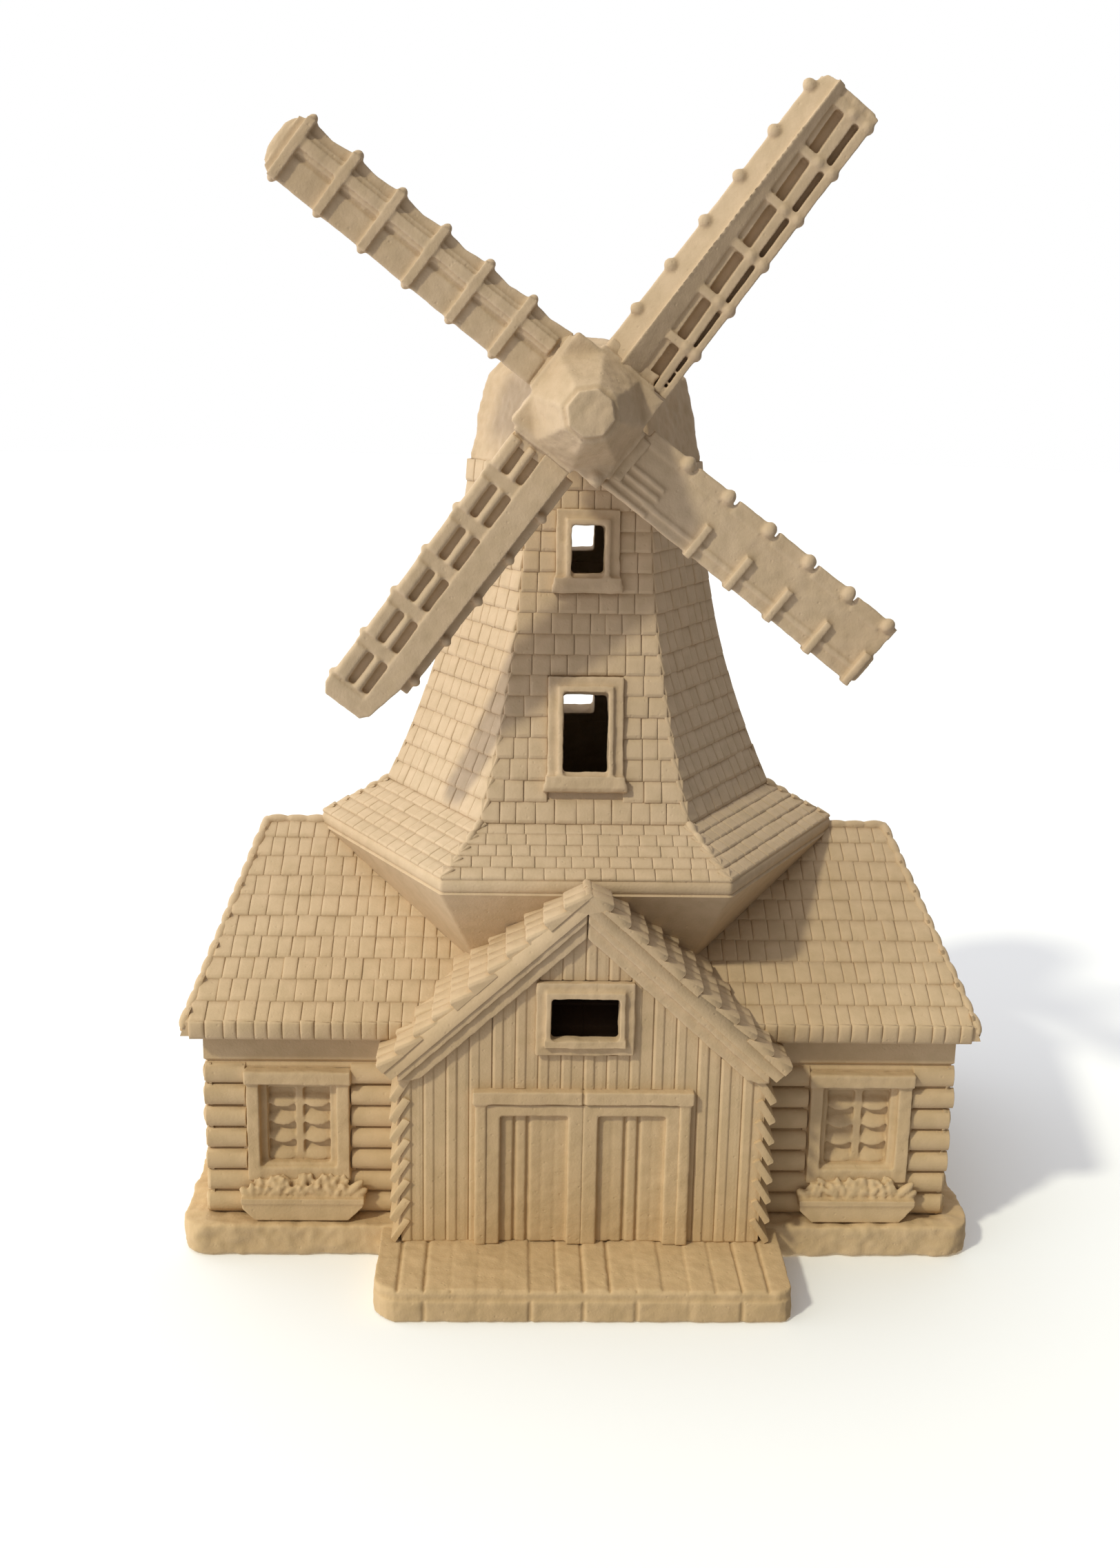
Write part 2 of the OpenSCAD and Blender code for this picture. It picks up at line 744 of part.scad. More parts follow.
// Cap: a hollow six-sided dome with a round neck in front that holds the bush.
module cap() {
    dome_steps = 5;
    dome = function (half, height) [for (i = [0 : dome_steps])
        [half * cos(90 * i / dome_steps), shoulder_z + height * sin(90 * i / dome_steps)]];
    outer = dome(shoulder_af / 2, dome_h);
    inner = dome(shoulder_af / 2 - wall, dome_h - wall);
    base = tower_top_z + slip;
    color(clay) placed() difference() {
        union() {
            six_sided(concat(
                [[tower_top_af / 2, base]], outer,
                [for (i = [dome_steps : -1 : 0]) inner[i]], [[tower_top_af / 2 - wall, base]]
            ));
            on_axle(-neck_y, wall - shoulder_af / 2, neck_r);
        }
        on_axle(-neck_y - lap, 0, bush_d / 2 + slip);
    }
}

// Brass bush, pushed into the neck from the front as far as its flange.
module axle_bush() {
    color(brass) placed() difference() {
        union() {
            on_axle(-neck_y, -bush_back, bush_d / 2);
            on_axle(-neck_y - washer_t, -neck_y, flange_d / 2);
        }
        on_axle(-neck_y - washer_t - lap, lap - bush_back, axle_d / 2 + axle_play);
    }
}

// Eight-sided column or taper about the axle's line, turned with the sails.
module eight_sided(y0, y1, af0, af1) {
    translate([axle_x, y1, axle_z]) rotate([90, 0, 0]) rotate([0, 0, sail_angle + 22.5])
        cylinder(h = y1 - y0, d1 = af1 / cos(22.5), d2 = af0 / cos(22.5), $fn = 8);
}

// Hub: a square block whose four sides carry the sails, with an eight-sided nose.
module hub() {
    color(clay) placed() difference() {
        union() {
            translate([axle_x, -(hub_back + hub_front) / 2, axle_z]) rotate([0, -sail_angle, 0])
                cube([hub_w, hub_l, hub_w], center = true);
            eight_sided(-nose_front, -hub_front, nose_front_af, nose_af);
        }
        on_axle(-axle_front, lap - hub_back, axle_d / 2 + axle_play);
    }
}

module hub_boss() {
    color(clay_dark) placed()
        eight_sided(-nose_front - slip - boss_l, -nose_front - slip, boss_af, boss_af);
}

// Place of sail number k: X runs out along the sail, Z towards its leading side, -Y to the front.
module on_hub(k) {
    translate([axle_x, -sail_y, axle_z]) rotate([0, -sail_angle - 90 * k, 0]) children();
}

// The sheet of a sail, with its outer corners cut off.
module sheet(trail, lead) {
    rotate([90, 0, 0]) linear_extrude(sheet_t) polygon([
        [sail_root, -trail], [sail_r - tip_cut, -trail], [sail_r, tip_cut - trail],
        [sail_r, lead - tip_cut], [sail_r - tip_cut, lead], [sail_root, lead]
    ]);
}

// A spar on a sail, from z0 to z1 at the root and tip0 to tip1 at the tip.
module spar(z0, z1, tip0, tip1, h) {
    rotate([90, 0, 0]) linear_extrude(sheet_t + h)
        polygon([[sail_root, z0], [sail_r - bar_end, tip0], [sail_r - bar_end, tip1], [sail_root, z1]]);
}

// The two laths of a lattice: one on the trailing edge, one midway to the spar.
module laths() {
    for (z = [-trail_w, lath_z - lath_w / 2]) {
        translate([sail_root, -sheet_t - bar_h, z])
            cube([sail_r - bar_end - sail_root, sheet_t + bar_h, lath_w]);
    }
}

function bar_at(i) = bar_start + i * bar_pitch;

module cross_bars(z0, z1, h) {
    for (i = [0 : bars - 1]) {
        translate([bar_at(i) - bar_w / 2, -sheet_t - h, z0]) cube([bar_w, sheet_t + h, z1 - z0]);
    }
}

module knobs(z) {
    for (i = [0 : bars - 1]) {
        translate([bar_at(i), -sheet_t, z]) sphere(knob_r);
    }
}

// Bare lattice behind a tall spar, with knobs on the leading side.
module upper_right_sail() {
    color(clay) placed() on_hub(0) {
        sheet(trail_w, lead_w);
        spar(-spar_w / 2, spar_w / 2, 0, spar_tip_w, spar_h);
        laths();
        cross_bars(-trail_w, 0, bar_h);
        knobs(lead_w - knob_r / 2);
    }
}

// Sheet drawn over bars that run right across, with a round spar under them.
module upper_left_sail() {
    color(clay) placed() on_hub(1) {
        sheet(trail_w, over_lead_w);
        cross_bars(-trail_w, over_lead_w + knob_r, bar_h);
        translate([sail_root, -sheet_t, (over_lead_w - trail_w) / 2]) rotate([0, 90, 0])
            cylinder(h = sail_r - bar_end - sail_root, r = knob_r);
    }
}

// Lattice beside a broad flat spar, with knobs behind the leading side.
module lower_left_sail() {
    color(clay) placed() on_hub(2) {
        sheet(trail_w, lead_w);
        spar(-spar_w / 2, lead_w, 0, lead_w, bar_h);
        laths();
        cross_bars(-trail_w, 0, bar_h);
        knobs(lead_w + knob_r / 2);
    }
}

// Sheet laid smooth, with knobs on its leading side and short bars on the other.
module lower_right_sail() {
    color(clay) placed() on_hub(3) {
        sheet(trail_w, lead_w);
        cross_bars(-trail_w, -spar_w / 2, bar_h);
        knobs(lead_w);
    }
}

// Steel axle, fixed in the hub and running in the bush.
module axle() {
    color(steel) placed() on_axle(-axle_front + slip, -axle_back, axle_d / 2);
}

module ring(y0, y1) {
    difference() {
        on_axle(y0, y1, collar_d / 2);
        on_axle(y0 - lap, y1 + lap, axle_d / 2 + axle_play);
    }
}

module front_washer() {
    color(steel) placed() ring(-hub_back, washer_t - hub_back);
}

module rear_washer() {
    color(steel) placed() ring(-collar_front - washer_t, -collar_front);
}

module retaining_collar() {
    color(steel) placed() ring(-collar_front, collar_l - collar_front);
}

plinth();
apron();
left_wing_walls();
right_wing_walls();
barn_walls();
left_wing_roof();
right_wing_roof();
barn_roof();
left_barge_board();
right_barge_board();
gable_window_frame();
door_frame();
left_door();
right_door();
left_window_frame();
left_window_sash();
left_flower_box();
right_window_frame();
right_window_sash();
right_flower_box();
tower_foot();
tower_shell();
lower_front_frame();
upper_front_frame();
lower_rear_frame();
upper_rear_frame();
cap();
axle_bush();
hub();
hub_boss();
upper_right_sail();
upper_left_sail();
lower_left_sail();
lower_right_sail();
axle();
front_washer();
rear_washer();
retaining_collar();
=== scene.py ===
import math
import random

import bmesh
import bpy
from mathutils import Matrix, Vector, noise


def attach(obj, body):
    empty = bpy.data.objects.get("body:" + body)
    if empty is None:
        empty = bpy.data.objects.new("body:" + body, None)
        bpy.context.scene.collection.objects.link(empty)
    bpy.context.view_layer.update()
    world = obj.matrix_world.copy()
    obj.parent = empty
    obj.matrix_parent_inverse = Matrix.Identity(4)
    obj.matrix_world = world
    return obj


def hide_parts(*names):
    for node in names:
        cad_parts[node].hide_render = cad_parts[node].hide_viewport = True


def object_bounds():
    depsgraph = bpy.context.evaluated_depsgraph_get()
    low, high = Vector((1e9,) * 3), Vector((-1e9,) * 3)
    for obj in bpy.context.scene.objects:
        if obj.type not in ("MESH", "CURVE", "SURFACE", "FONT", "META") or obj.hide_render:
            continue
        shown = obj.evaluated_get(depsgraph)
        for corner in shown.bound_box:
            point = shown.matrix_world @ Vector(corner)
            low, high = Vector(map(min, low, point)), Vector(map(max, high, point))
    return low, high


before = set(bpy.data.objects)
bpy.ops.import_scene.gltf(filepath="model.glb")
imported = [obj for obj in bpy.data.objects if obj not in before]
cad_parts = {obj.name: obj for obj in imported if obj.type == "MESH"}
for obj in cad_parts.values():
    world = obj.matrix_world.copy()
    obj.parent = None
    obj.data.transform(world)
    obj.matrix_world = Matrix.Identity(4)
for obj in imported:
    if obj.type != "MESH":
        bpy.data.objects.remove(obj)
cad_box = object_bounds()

# Plinth. The flange that the hollow house is cast on, in bisque: clay fired once and left unglazed.
# Its thick lip came soft out of the mould and is a little uneven where a sponge wiped the seam.
mm = 0.001
tower_y = 18  # the tower's axis stands this far behind the middle of the footprint
scene_root = bpy.context.scene.collection


def feed(node, feeds):
    for label, value in feeds.items():
        if isinstance(value, bpy.types.NodeSocket):
            node.id_data.links.new(value, node.inputs[label])
        else:
            node.inputs[label].default_value = value


def wired(tree, kind, feeds=None, **settings):
    node = tree.nodes.new(kind)
    for label, value in settings.items():
        setattr(node, label, value)
    feed(node, feeds or {})
    return node.outputs


def ramp(tree, source, stops):
    colours = wired(tree, "ShaderNodeValToRGB", {0: source})[0]
    ends = colours.node.color_ramp.elements
    while len(ends) < len(stops):
        ends.new(0.5)
    for end, (at, colour) in zip(ends, stops):
        end.position, end.color = at, (*colour, 1)
    return colours


def bisque_clay(name, pale, tan, mottle, attic_top=None, attic_pitch=None):
    clay = bpy.data.materials.new(name)
    clay.use_nodes = True
    tree = clay.node_tree
    place = wired(tree, "ShaderNodeTexCoord")["Object"]

    def cloud(scale, detail):
        return wired(tree, "ShaderNodeTexNoise", {"Vector": place, "Scale": scale, "Detail": detail})[0]

    def multiply(amount, a, b):
        return wired(tree, "ShaderNodeMix", {0: amount, 6: a, 7: b}, data_type="RGBA", blend_type="MULTIPLY")[2]

    def figure(kind, *values):
        return wired(tree, "ShaderNodeMath", dict(enumerate(values)), operation=kind)[0]

    broad_scale, spot_scale, grain_scale, dry_scale, dim = 16, 210, 1300, 520, 1 - mottle
    broad = ramp(tree, cloud(broad_scale, 3), [(0.32, tan), (0.68, pale)])
    spots = ramp(tree, cloud(spot_scale, 4), [(0.3, (dim, dim, dim * 0.97)), (0.62, (1, 1, 1))])
    colour = multiply(1.0, broad, spots)

    # The colour runs warmer and yellower towards the foot and a little cooler towards the top, over the lowest 13
    # cm.
    tint_height, foot_tint, top_tint = 0.13, (1.0, 0.95, 0.80), (0.96, 0.97, 1.0)
    spot = wired(tree, "ShaderNodeSeparateXYZ", {0: place})
    level = wired(tree, "ShaderNodeMapRange", {"Value": spot["Z"], "From Max": tint_height})[0]
    colour = multiply(1.0, colour, ramp(tree, level, [(0.0, foot_tint), (1.0, top_tint)]))

    # Painted shade: creases and hollows, found by pointiness, are darkened in the colour.
    crease_shade_strength, bend = 0.75, wired(tree, "ShaderNodeNewGeometry")["Pointiness"]
    colour = multiply(crease_shade_strength, colour, ramp(tree, bend, [
        (0.40, (0.62, 0.55, 0.47)), (0.485, (0.93, 0.91, 0.88)), (0.515, (1, 1, 1)), (0.62, (1.0, 0.99, 0.97))]))
    # Painted shade: inside the barn's attic, below the roof slope and in front of the tower, the clay is painted
    # nearly black.
    if attic_top:
        attic_shade_colour = (0.08, 0.06, 0.05)
        slope_height = figure("MULTIPLY_ADD", figure("ABSOLUTE", spot["X"]), attic_pitch, spot["Z"])
        below_roof = figure("LESS_THAN", slope_height, attic_top * mm)
        in_front = figure("LESS_THAN", spot["Y"], tower_y * mm)
        attic_shade = ramp(tree, figure("MULTIPLY", below_roof, in_front), [(0.0, (1, 1, 1)), (1.0, attic_shade_colour)])
        colour = multiply(1.0, colour, attic_shade)

    dampest, driest, shine = 0.74, 0.93, 0.28
    dry = wired(tree, "ShaderNodeMapRange", {"Value": cloud(dry_scale, 2), "To Min": dampest, "To Max": driest})[0]
    pit_scale, pit_width, pit_depth, relief_strength, relief_depth = 330, 0.16, 1.2, 0.32, 0.00035
    pits = wired(tree, "ShaderNodeTexVoronoi", {"Vector": place, "Scale": pit_scale})["Distance"]
    pits = wired(tree, "ShaderNodeMapRange", {
        "Value": pits, "From Max": pit_width, "To Min": -pit_depth, "To Max": 0.0})[0]
    grain = figure("ADD", cloud(grain_scale, 3), pits)
    relief = wired(tree, "ShaderNodeBump", {
        "Height": grain, "Strength": relief_strength, "Distance": relief_depth})[0]
    feed(tree.nodes["Principled BSDF"], {
        "Base Color": colour, "Roughness": dry, "Specular IOR Level": shine, "Normal": relief})
    return clay


pale_clay, tan_clay, clay_mottle = (0.62, 0.474, 0.308), (0.557, 0.412, 0.255), 0.10
cast_clay = bisque_clay("cast_bisque", pale_clay, tan_clay, clay_mottle)


def coat(piece, material):
    piece.data.materials.clear()
    piece.data.materials.append(material)


def finished(piece, body, nodes=()):
    coat(piece, cast_clay)
    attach(piece, body)
    if nodes:
        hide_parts(*nodes)
    return piece


def node_copy(bm, *nodes):
    for n in nodes:
        bm.from_mesh(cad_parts[n].data)
    bmesh.ops.remove_doubles(bm, verts=bm.verts, dist=1e-6)


def modelled(name, bm):
    mesh = bpy.data.meshes.new(name)
    bm.to_mesh(mesh)
    bm.free()
    piece = bpy.data.objects.new(name, mesh)
    scene_root.objects.link(piece)
    return piece


def baked(piece):
    raw = piece.data
    deps = bpy.context.evaluated_depsgraph_get()
    mesh = bpy.data.meshes.new_from_object(piece.evaluated_get(deps))
    piece.modifiers.clear()
    piece.data = mesh
    bpy.data.meshes.remove(raw)
    mesh.name = piece.name


def cast_whole(name, bm, body, *nodes, voxel, softening, swell):
    piece = modelled(name, bm)
    fuse = piece.modifiers.new("fuse", "REMESH")
    fuse.mode, fuse.voxel_size, fuse.use_smooth_shade = "VOXEL", voxel * mm, True
    soft = piece.modifiers.new("soften", "SMOOTH")
    soft.iterations, soft.factor = softening, 0.5
    baked(piece)
    broad_wave, fine_wave, drawn_in, moved = 160, 430, 0.4, []
    for p, n in [(v.co.copy(), v.normal.copy()) for v in piece.data.vertices]:
        waves = noise.noise(p * broad_wave) + 0.5 * noise.noise(p * fine_wave)
        p = p + n * swell * mm * (waves - drawn_in)
        moved += [min(max(c, low), high) for c, low, high in zip(p, *cad_box)]
    piece.data.vertices.foreach_set("co", moved)
    finished(piece, body, nodes)


bm = bmesh.new()
node_copy(bm, "plinth")
cast_whole("plinth_casting", bm, "house", "plinth", voxel=0.8, softening=8, swell=0.7)

# Forecourt. A slab in front of the barn doors, cast with the plinth and paved with setts: a kerb of
# eight blocks in front, and a row of long narrow stones that run back over it to the barn.
court_half, court_front, court_back, court_top, kerb_top = 60, -112, -67.5, 9.4, 6.4
kerbs, lanes, left_round, right_round, court_joint = 8, 16, 9, 5, 0.95
kerb_back, lane_foot, lane_in, bed_in, bed_down, lane_uneven = -96, 2, 1.3, 0.7, 0.75, 0.25


def house(x=0, y=0, z=0):
    return Matrix.Translation((x, y + tower_y, z))


def prism(bm, outline, y0, y1, place):
    front = [bm.verts.new(place @ Vector((x, y0, z)) * mm) for x, z in outline]
    rear = [bm.verts.new(place @ Vector((x, y1, z)) * mm) for x, z in outline]
    n = len(outline)
    faces = [bm.faces.new(front), bm.faces.new(rear[::-1])]
    for i in range(n):
        faces.append(bm.faces.new((front[i], rear[i], rear[(i + 1) % n], front[(i + 1) % n])))
    bmesh.ops.recalc_face_normals(bm, faces=faces)


def court_edge(x):
    r = left_round if x < 0 else right_round
    past = abs(x) - (court_half - r)
    return court_front if past < 0 else court_front + r - math.sqrt(max(0, r * r - past * past))


def paving(bm, x0, x1, front, rear, z0, z1):
    n = max(6, int((x1 - x0) / 2))
    steps = [x0 + (x1 - x0) * i / n for i in range(n + 1)]
    outline = [(x, -front(x)) for x in steps] + [(x1, -rear), (x0, -rear)]
    prism(bm, outline, z0, z1, house() @ Matrix.Rotation(math.radians(90), 4, "X"))


rng = random.Random(5)
bm = bmesh.new()
paving(bm, -court_half + bed_in, court_half - bed_in, lambda x: court_edge(x) + bed_in,
       court_back, 0, court_top - bed_down)
for i in range(kerbs):
    x = -court_half + i * 2 * court_half / kerbs
    x0, x1 = x + court_joint / 2, x + 2 * court_half / kerbs - court_joint / 2
    paving(bm, x0, x1, court_edge, kerb_back, 0, kerb_top)
for i in range(lanes):
    x0 = -court_half + i * 2 * court_half / lanes + court_joint / 2
    x1 = x0 + 2 * court_half / lanes - court_joint
    stone_top = court_top + rng.uniform(-lane_uneven, lane_uneven)
    paving(bm, x0, x1, lambda x: court_edge(x) + lane_in, court_back, lane_foot, stone_top)
cast_whole("forecourt_casting", bm, "house", "apron", voxel=0.42, softening=4, swell=0.3)

# Wing walls. Hollow cast walls modelled as stacked round logs, seven to a wall, with a plain band
# left under the eaves. The logs are soft ribs in the clay, and their ends show at the corners.
house_x, house_y, barn_x, log_rows, log_foot, band_z = 112.5, 67, 53, 7, 10, 58.9
log_h = (band_z - log_foot) / log_rows
log_seat, log_past, end_in, end_past = 0.5, 0.2, 1.6, 0.8
window_x, window_half, window_z0, window_z1 = 84.5, 15.6, 20.5, 57.6
sides = ((-1, "left"), (1, "right"))
back, above = Vector((0, 1, 0)), Vector((0, 0, 1))


def smoothed(piece, sharp):
    piece.data.polygons.foreach_set("use_smooth", [True] * len(piece.data.polygons))
    piece.data.set_sharp_from_angle(angle=math.radians(sharp))
    return piece


def pillow(name, across, up):
    bm = bmesh.new()
    top = [[bm.verts.new((x, y, fx * fy)) for x, fx in across] for y, fy in up]
    sunk, sharp = 0.25, 58
    x0, x1, y0, y1 = across[0][0], across[-1][0], up[0][0], up[-1][0]
    foot = [bm.verts.new((x, y, -sunk)) for x, y in ((x0, y0), (x1, y0), (x1, y1), (x0, y1))]
    for a, b in zip(top, top[1:]):
        for i in range(len(a) - 1):
            bm.faces.new((a[i], a[i + 1], b[i + 1], b[i]))
    bm.faces.new(foot[::-1])
    bm.faces.new([foot[0], foot[1]] + top[0][::-1])
    bm.faces.new([foot[2], foot[3]] + top[-1])
    bm.faces.new([foot[3], foot[0]] + [r[0] for r in top])
    bm.faces.new([foot[1], foot[2]] + [r[-1] for r in top[::-1]])
    bmesh.ops.recalc_face_normals(bm, faces=bm.faces)
    return smoothed(modelled(name, bm), sharp)


def laying_tree():
    tree = bpy.data.node_groups.new("lay_in_courses", "GeometryNodeTree")
    for label, kind in (("Spots", "Geometry"), ("Shape", "Object"), ("Thickness", "Float"), ("Joint", "Float"),
                        ("Unevenness", "Float"), ("Seed", "Int"), ("Clay", "Material")):
        tree.interface.new_socket(label, in_out="INPUT", socket_type="NodeSocket" + kind)
    tree.interface.new_socket("Laid", in_out="OUTPUT", socket_type="NodeSocketGeometry")
    given = wired(tree, "NodeGroupInput")

    def attribute(name):
        return wired(tree, "GeometryNodeInputNamedAttribute", {"Name": name}, data_type="FLOAT_VECTOR")["Attribute"]

    def jitter(low, high, step):
        seed = wired(tree, "ShaderNodeMath", {0: given["Seed"], 1: step})[0]
        return wired(tree, "FunctionNodeRandomValue", {"Min": low, "Max": high, "Seed": seed},
                     data_type="FLOAT_VECTOR")["Value"]

    def reckoned(kind, a, b, second=1):
        return wired(tree, "ShaderNodeVectorMath", {0: a, second: b}, operation=kind)[0]

    lean = reckoned("SCALE", jitter((-1, -0.6, -1), (1, 0.6, 1), 1), given["Unevenness"], "Scale")
    turn = wired(tree, "FunctionNodeRotateRotation", {"Rotation": attribute("lie"), "Rotate By": lean},
                 rotation_space="LOCAL")[0]
    thick = wired(tree, "ShaderNodeCombineXYZ", {0: 1, 1: 1, 2: given["Thickness"]})[0]
    sized = reckoned("MULTIPLY", attribute("span"), thick)
    uneven = reckoned("MULTIPLY", sized, jitter((1, 0.97, 0.82), (1, 1.03, 1.12), 7))
    gap = wired(tree, "ShaderNodeCombineXYZ", {0: given["Joint"]})[0]
    shape = wired(tree, "GeometryNodeObjectInfo", {"Object": given["Shape"]})["Geometry"]
    put = wired(tree, "GeometryNodeInstanceOnPoints", {
        "Points": given["Spots"], "Instance": shape, "Rotation": turn,
        "Scale": reckoned("SUBTRACT", uneven, gap)})[0]
    real = wired(tree, "GeometryNodeRealizeInstances", {0: put})[0]
    coated = wired(tree, "GeometryNodeSetMaterial", {"Geometry": real, "Material": given["Clay"]})[0]
    wired(tree, "NodeGroupOutput", {0: coated})
    return tree


lay_in_courses = laying_tree()


def laid(name, spots, shape, thickness, joint, unevenness, seed):
    mesh = bpy.data.meshes.new(name)
    mesh.from_pydata([s[0] * mm for s in spots], [], [])
    lie = mesh.attributes.new("lie", "FLOAT_VECTOR", "POINT")
    span = mesh.attributes.new("span", "FLOAT_VECTOR", "POINT")
    for i, (at, up, out, width, height) in enumerate(spots):
        up, out = up.normalized(), out.normalized()
        across = up.cross(out).normalized()
        out = across.cross(up)
        lie.data[i].vector = Matrix((across, up, out)).transposed().to_euler()
        span.data[i].vector = (width * mm, height * mm, 1)
    piece = bpy.data.objects.new(name, mesh)
    scene_root.objects.link(piece)
    lay = piece.modifiers.new("lay", "NODES")
    lay.node_group = lay_in_courses
    given = {"Shape": shape, "Thickness": thickness * mm, "Joint": joint * mm,
             "Unevenness": math.radians(unevenness), "Seed": seed, "Clay": cast_clay}
    for socket in lay_in_courses.interface.items_tree:
        if socket.in_out == "INPUT" and socket.name in given:
            lay[socket.identifier] = given[socket.name]
    baked(piece)
    finished(piece, "house")


def split(length, width, rng):
    narrowest, widest = 0.78, 1.22
    parts = [rng.uniform(narrowest, widest) for _ in range(max(1, round(length / width)))]
    cuts = [0.0]
    for p in parts:
        cuts.append(cuts[-1] + p)
    return [c / cuts[-1] for c in cuts]


def row_of(left, right, up, out, width, height, rng):
    spots = []
    cuts = split((right - left).length, width, rng)
    for a, b in zip(cuts, cuts[1:]):
        at = left.lerp(right, (a + b) / 2)
        spots.append((at, up, out, (right - left).length * (b - a), height))
    return spots


log = pillow("log",
             [(-0.5, 0.45), (-0.494, 0.85), (-0.482, 1), (0, 0.96), (0.482, 1), (0.494, 0.85), (0.5, 0.45)],
             [(0.03, 0), (0.08, 0.44), (0.18, 0.75), (0.34, 0.95), (0.5, 1),
              (0.66, 0.95), (0.82, 0.74), (0.92, 0.42), (0.97, 0)])


def log_run(spots, x0, x1, y, z, out):
    a, b = Vector((x0, y + tower_y, z)), Vector((x1, y + tower_y, z))
    spots.append(((a + b) / 2, above, out, (b - a).length, log_h))


for side, word in sides:
    logs = []
    rng = random.Random(20 + side)
    for row in range(log_rows):
        z = log_foot + row * log_h
        ends = [rng.uniform(-0.7, 0.5) for _ in range(4)]
        outer, inner, face_y = house_x + log_past + ends[0], barn_x + 0.3, house_y - log_seat
        if window_z0 - 2 < z < window_z1 - 3:
            log_run(logs, side * outer, side * (window_x + window_half), -face_y, z, -back)
            log_run(logs, side * (window_x - window_half), side * inner, -face_y, z, -back)
        else:
            log_run(logs, side * outer, side * inner, -face_y, z, -back)
        log_run(logs, side * (house_x + log_past + ends[1]), 0, face_y, z, back)
        end = Vector((side * (house_x - end_in), tower_y, z))
        logs.append((end, above, Vector((side, 0, 0)), 2 * house_y + end_past + ends[2], log_h))
    laid(word + "_wing_logs", logs, log, thickness=2.4, joint=0.0, unevenness=0.25, seed=40 + side)
    coat(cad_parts[word + "_wing_walls"], cast_clay)

# Barn walls. The barn front is cast as upright boards with a rounded edge each, the short sides as
# lapped boards whose ends show as a row of teeth at the corners. Boards stop at doors and windows.
boards, board_foot, barn_y = 16, 9, 83.4
board_w = 2 * barn_x / boards
door_half, door_top, gable_half, gable_z0, gable_z1 = 31.6, 58.2, 14.4, 69.2, 92.0
barn_half, barn_eave_z, barn_ridge_z, verge_cover = 58, 65.5, 118.5, 5.4
barn_fall = barn_ridge_z - barn_eave_z
board = pillow("board",
               [(-0.5, 0.2), (-0.45, 0.8), (-0.38, 1), (-0.12, 1), (-0.06, 0.86), (-0.01, 0.3),
                (0.06, 0.42), (0.3, 0.52), (0.44, 0.42), (0.5, 0.2)],
               [(0, 0.6), (0.012, 1), (0.988, 1), (1, 0.6)])


def barn_slope(x):
    return barn_ridge_z - verge_cover - abs(x) * barn_fall / barn_half


upright = []
for i in range(boards):
    x = (i - (boards - 1) / 2) * board_w
    top = barn_slope(abs(x) + board_w / 2) - 1
    runs = [(board_foot, top)]
    if abs(x) + board_w / 2 < door_half + 1.5:
        runs = [(door_top, top)]
        if abs(x) < gable_half + 1:
            runs = [(door_top, gable_z0), (gable_z1, top)]
    for z0, z1 in runs:
        if z1 - z0 > 2:
            upright.append((Vector((x, tower_y - barn_y + 0.3, z0)), above, -back, board_w, z1 - z0))
laid("barn_boards", upright, board, thickness=0.65, joint=0.0, unevenness=0.1, seed=9)

lap_rows, lap_foot, lap_top = 8, 9.6, 60.6
lap_h = (lap_top - lap_foot) / lap_rows
lap_lean, lap_foot_x, lap_front_y, lap_cover = 0.62, 55.0, 84.5, 1.3
lap = pillow("lap", [(-0.5, 0.95), (-0.47, 1), (0.47, 1), (0.5, 0.95)],
             [(0, 0.8), (0.05, 1), (0.95, 1), (1, 0.8)])
laps = []
for side in (-1, 1):
    for row in range(lap_rows):
        mid = Vector((side * lap_foot_x, tower_y - (lap_front_y + house_y) / 2, lap_foot + row * lap_h))
        up, out = Vector((-side * lap_lean, 0, 1)), Vector((side, 0, lap_lean))
        laps.append((mid, up, out, lap_front_y - house_y, lap_h * lap_cover))
laid("barn_side_boards", laps, lap, thickness=1.7, joint=0.0, unevenness=0.8, seed=14)
coat(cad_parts["barn_walls"], cast_clay)

# Barn doors. Two leaves moulded shut in a raised frame: each has heavy stiles and a top rail round a
# sunk panel of five battens. All is one casting with the barn front, so the edges are soft.
door_face, panel_sunk, stile_w, rail_h, battens, batten_h = 85.5, 2.9, 4.6, 3.7, 5, 1.1
barn_back, door_foot, leaf_top, leaf_gap, leaf_w = -78.5, 9.2, 54.2, 0.15, 28.6
post_in, post_out, post_top, post_face, lintel_face = 27.9, 31.5, 57.9, -86.0, -85.6
head_gap, head_out, head_foot, head_top, head_face, head_back = 0.4, 32.3, 54.3, 58.5, -86.5, -80


def bar(bm, lo, hi, place):
    size = Vector(hi) - Vector(lo)
    mid = (Vector(hi) + Vector(lo)) / 2
    made = bmesh.ops.create_cube(bm, size=1)["verts"]
    for v in made:
        v.co = Vector((v.co[0] * size[0], v.co[1] * size[1], v.co[2] * size[2])) + mid
    for v in made:
        v.co = place @ v.co * mm


for side, word in sides:
    bm = bmesh.new()
    x0, x1 = sorted((side * -leaf_gap, side * leaf_w))
    inner, outer = x0 + stile_w, x1 - stile_w
    y0, y1, z0, z1 = -door_face, barn_back, door_foot, leaf_top
    bar(bm, (x0, y0 + panel_sunk, z0), (x1, y1, z1), house())
    bar(bm, (x0, y0, z0), (inner, y1, z1), house())
    bar(bm, (outer, y0, z0), (x1, y1, z1), house())
    bar(bm, (x0, y0, z1 - rail_h), (x1, y1, z1), house())
    pitch = (outer - inner) / battens
    for i in range(battens):
        b0 = inner + i * pitch
        bar(bm, (b0 + 0.7, y0 + panel_sunk - batten_h, z0), (b0 + pitch - 0.2, y1, z1 - rail_h + 1), house())
    cast_whole(word + "_barn_door", bm, "house", word + "_door", voxel=0.38, softening=5, swell=0.15)

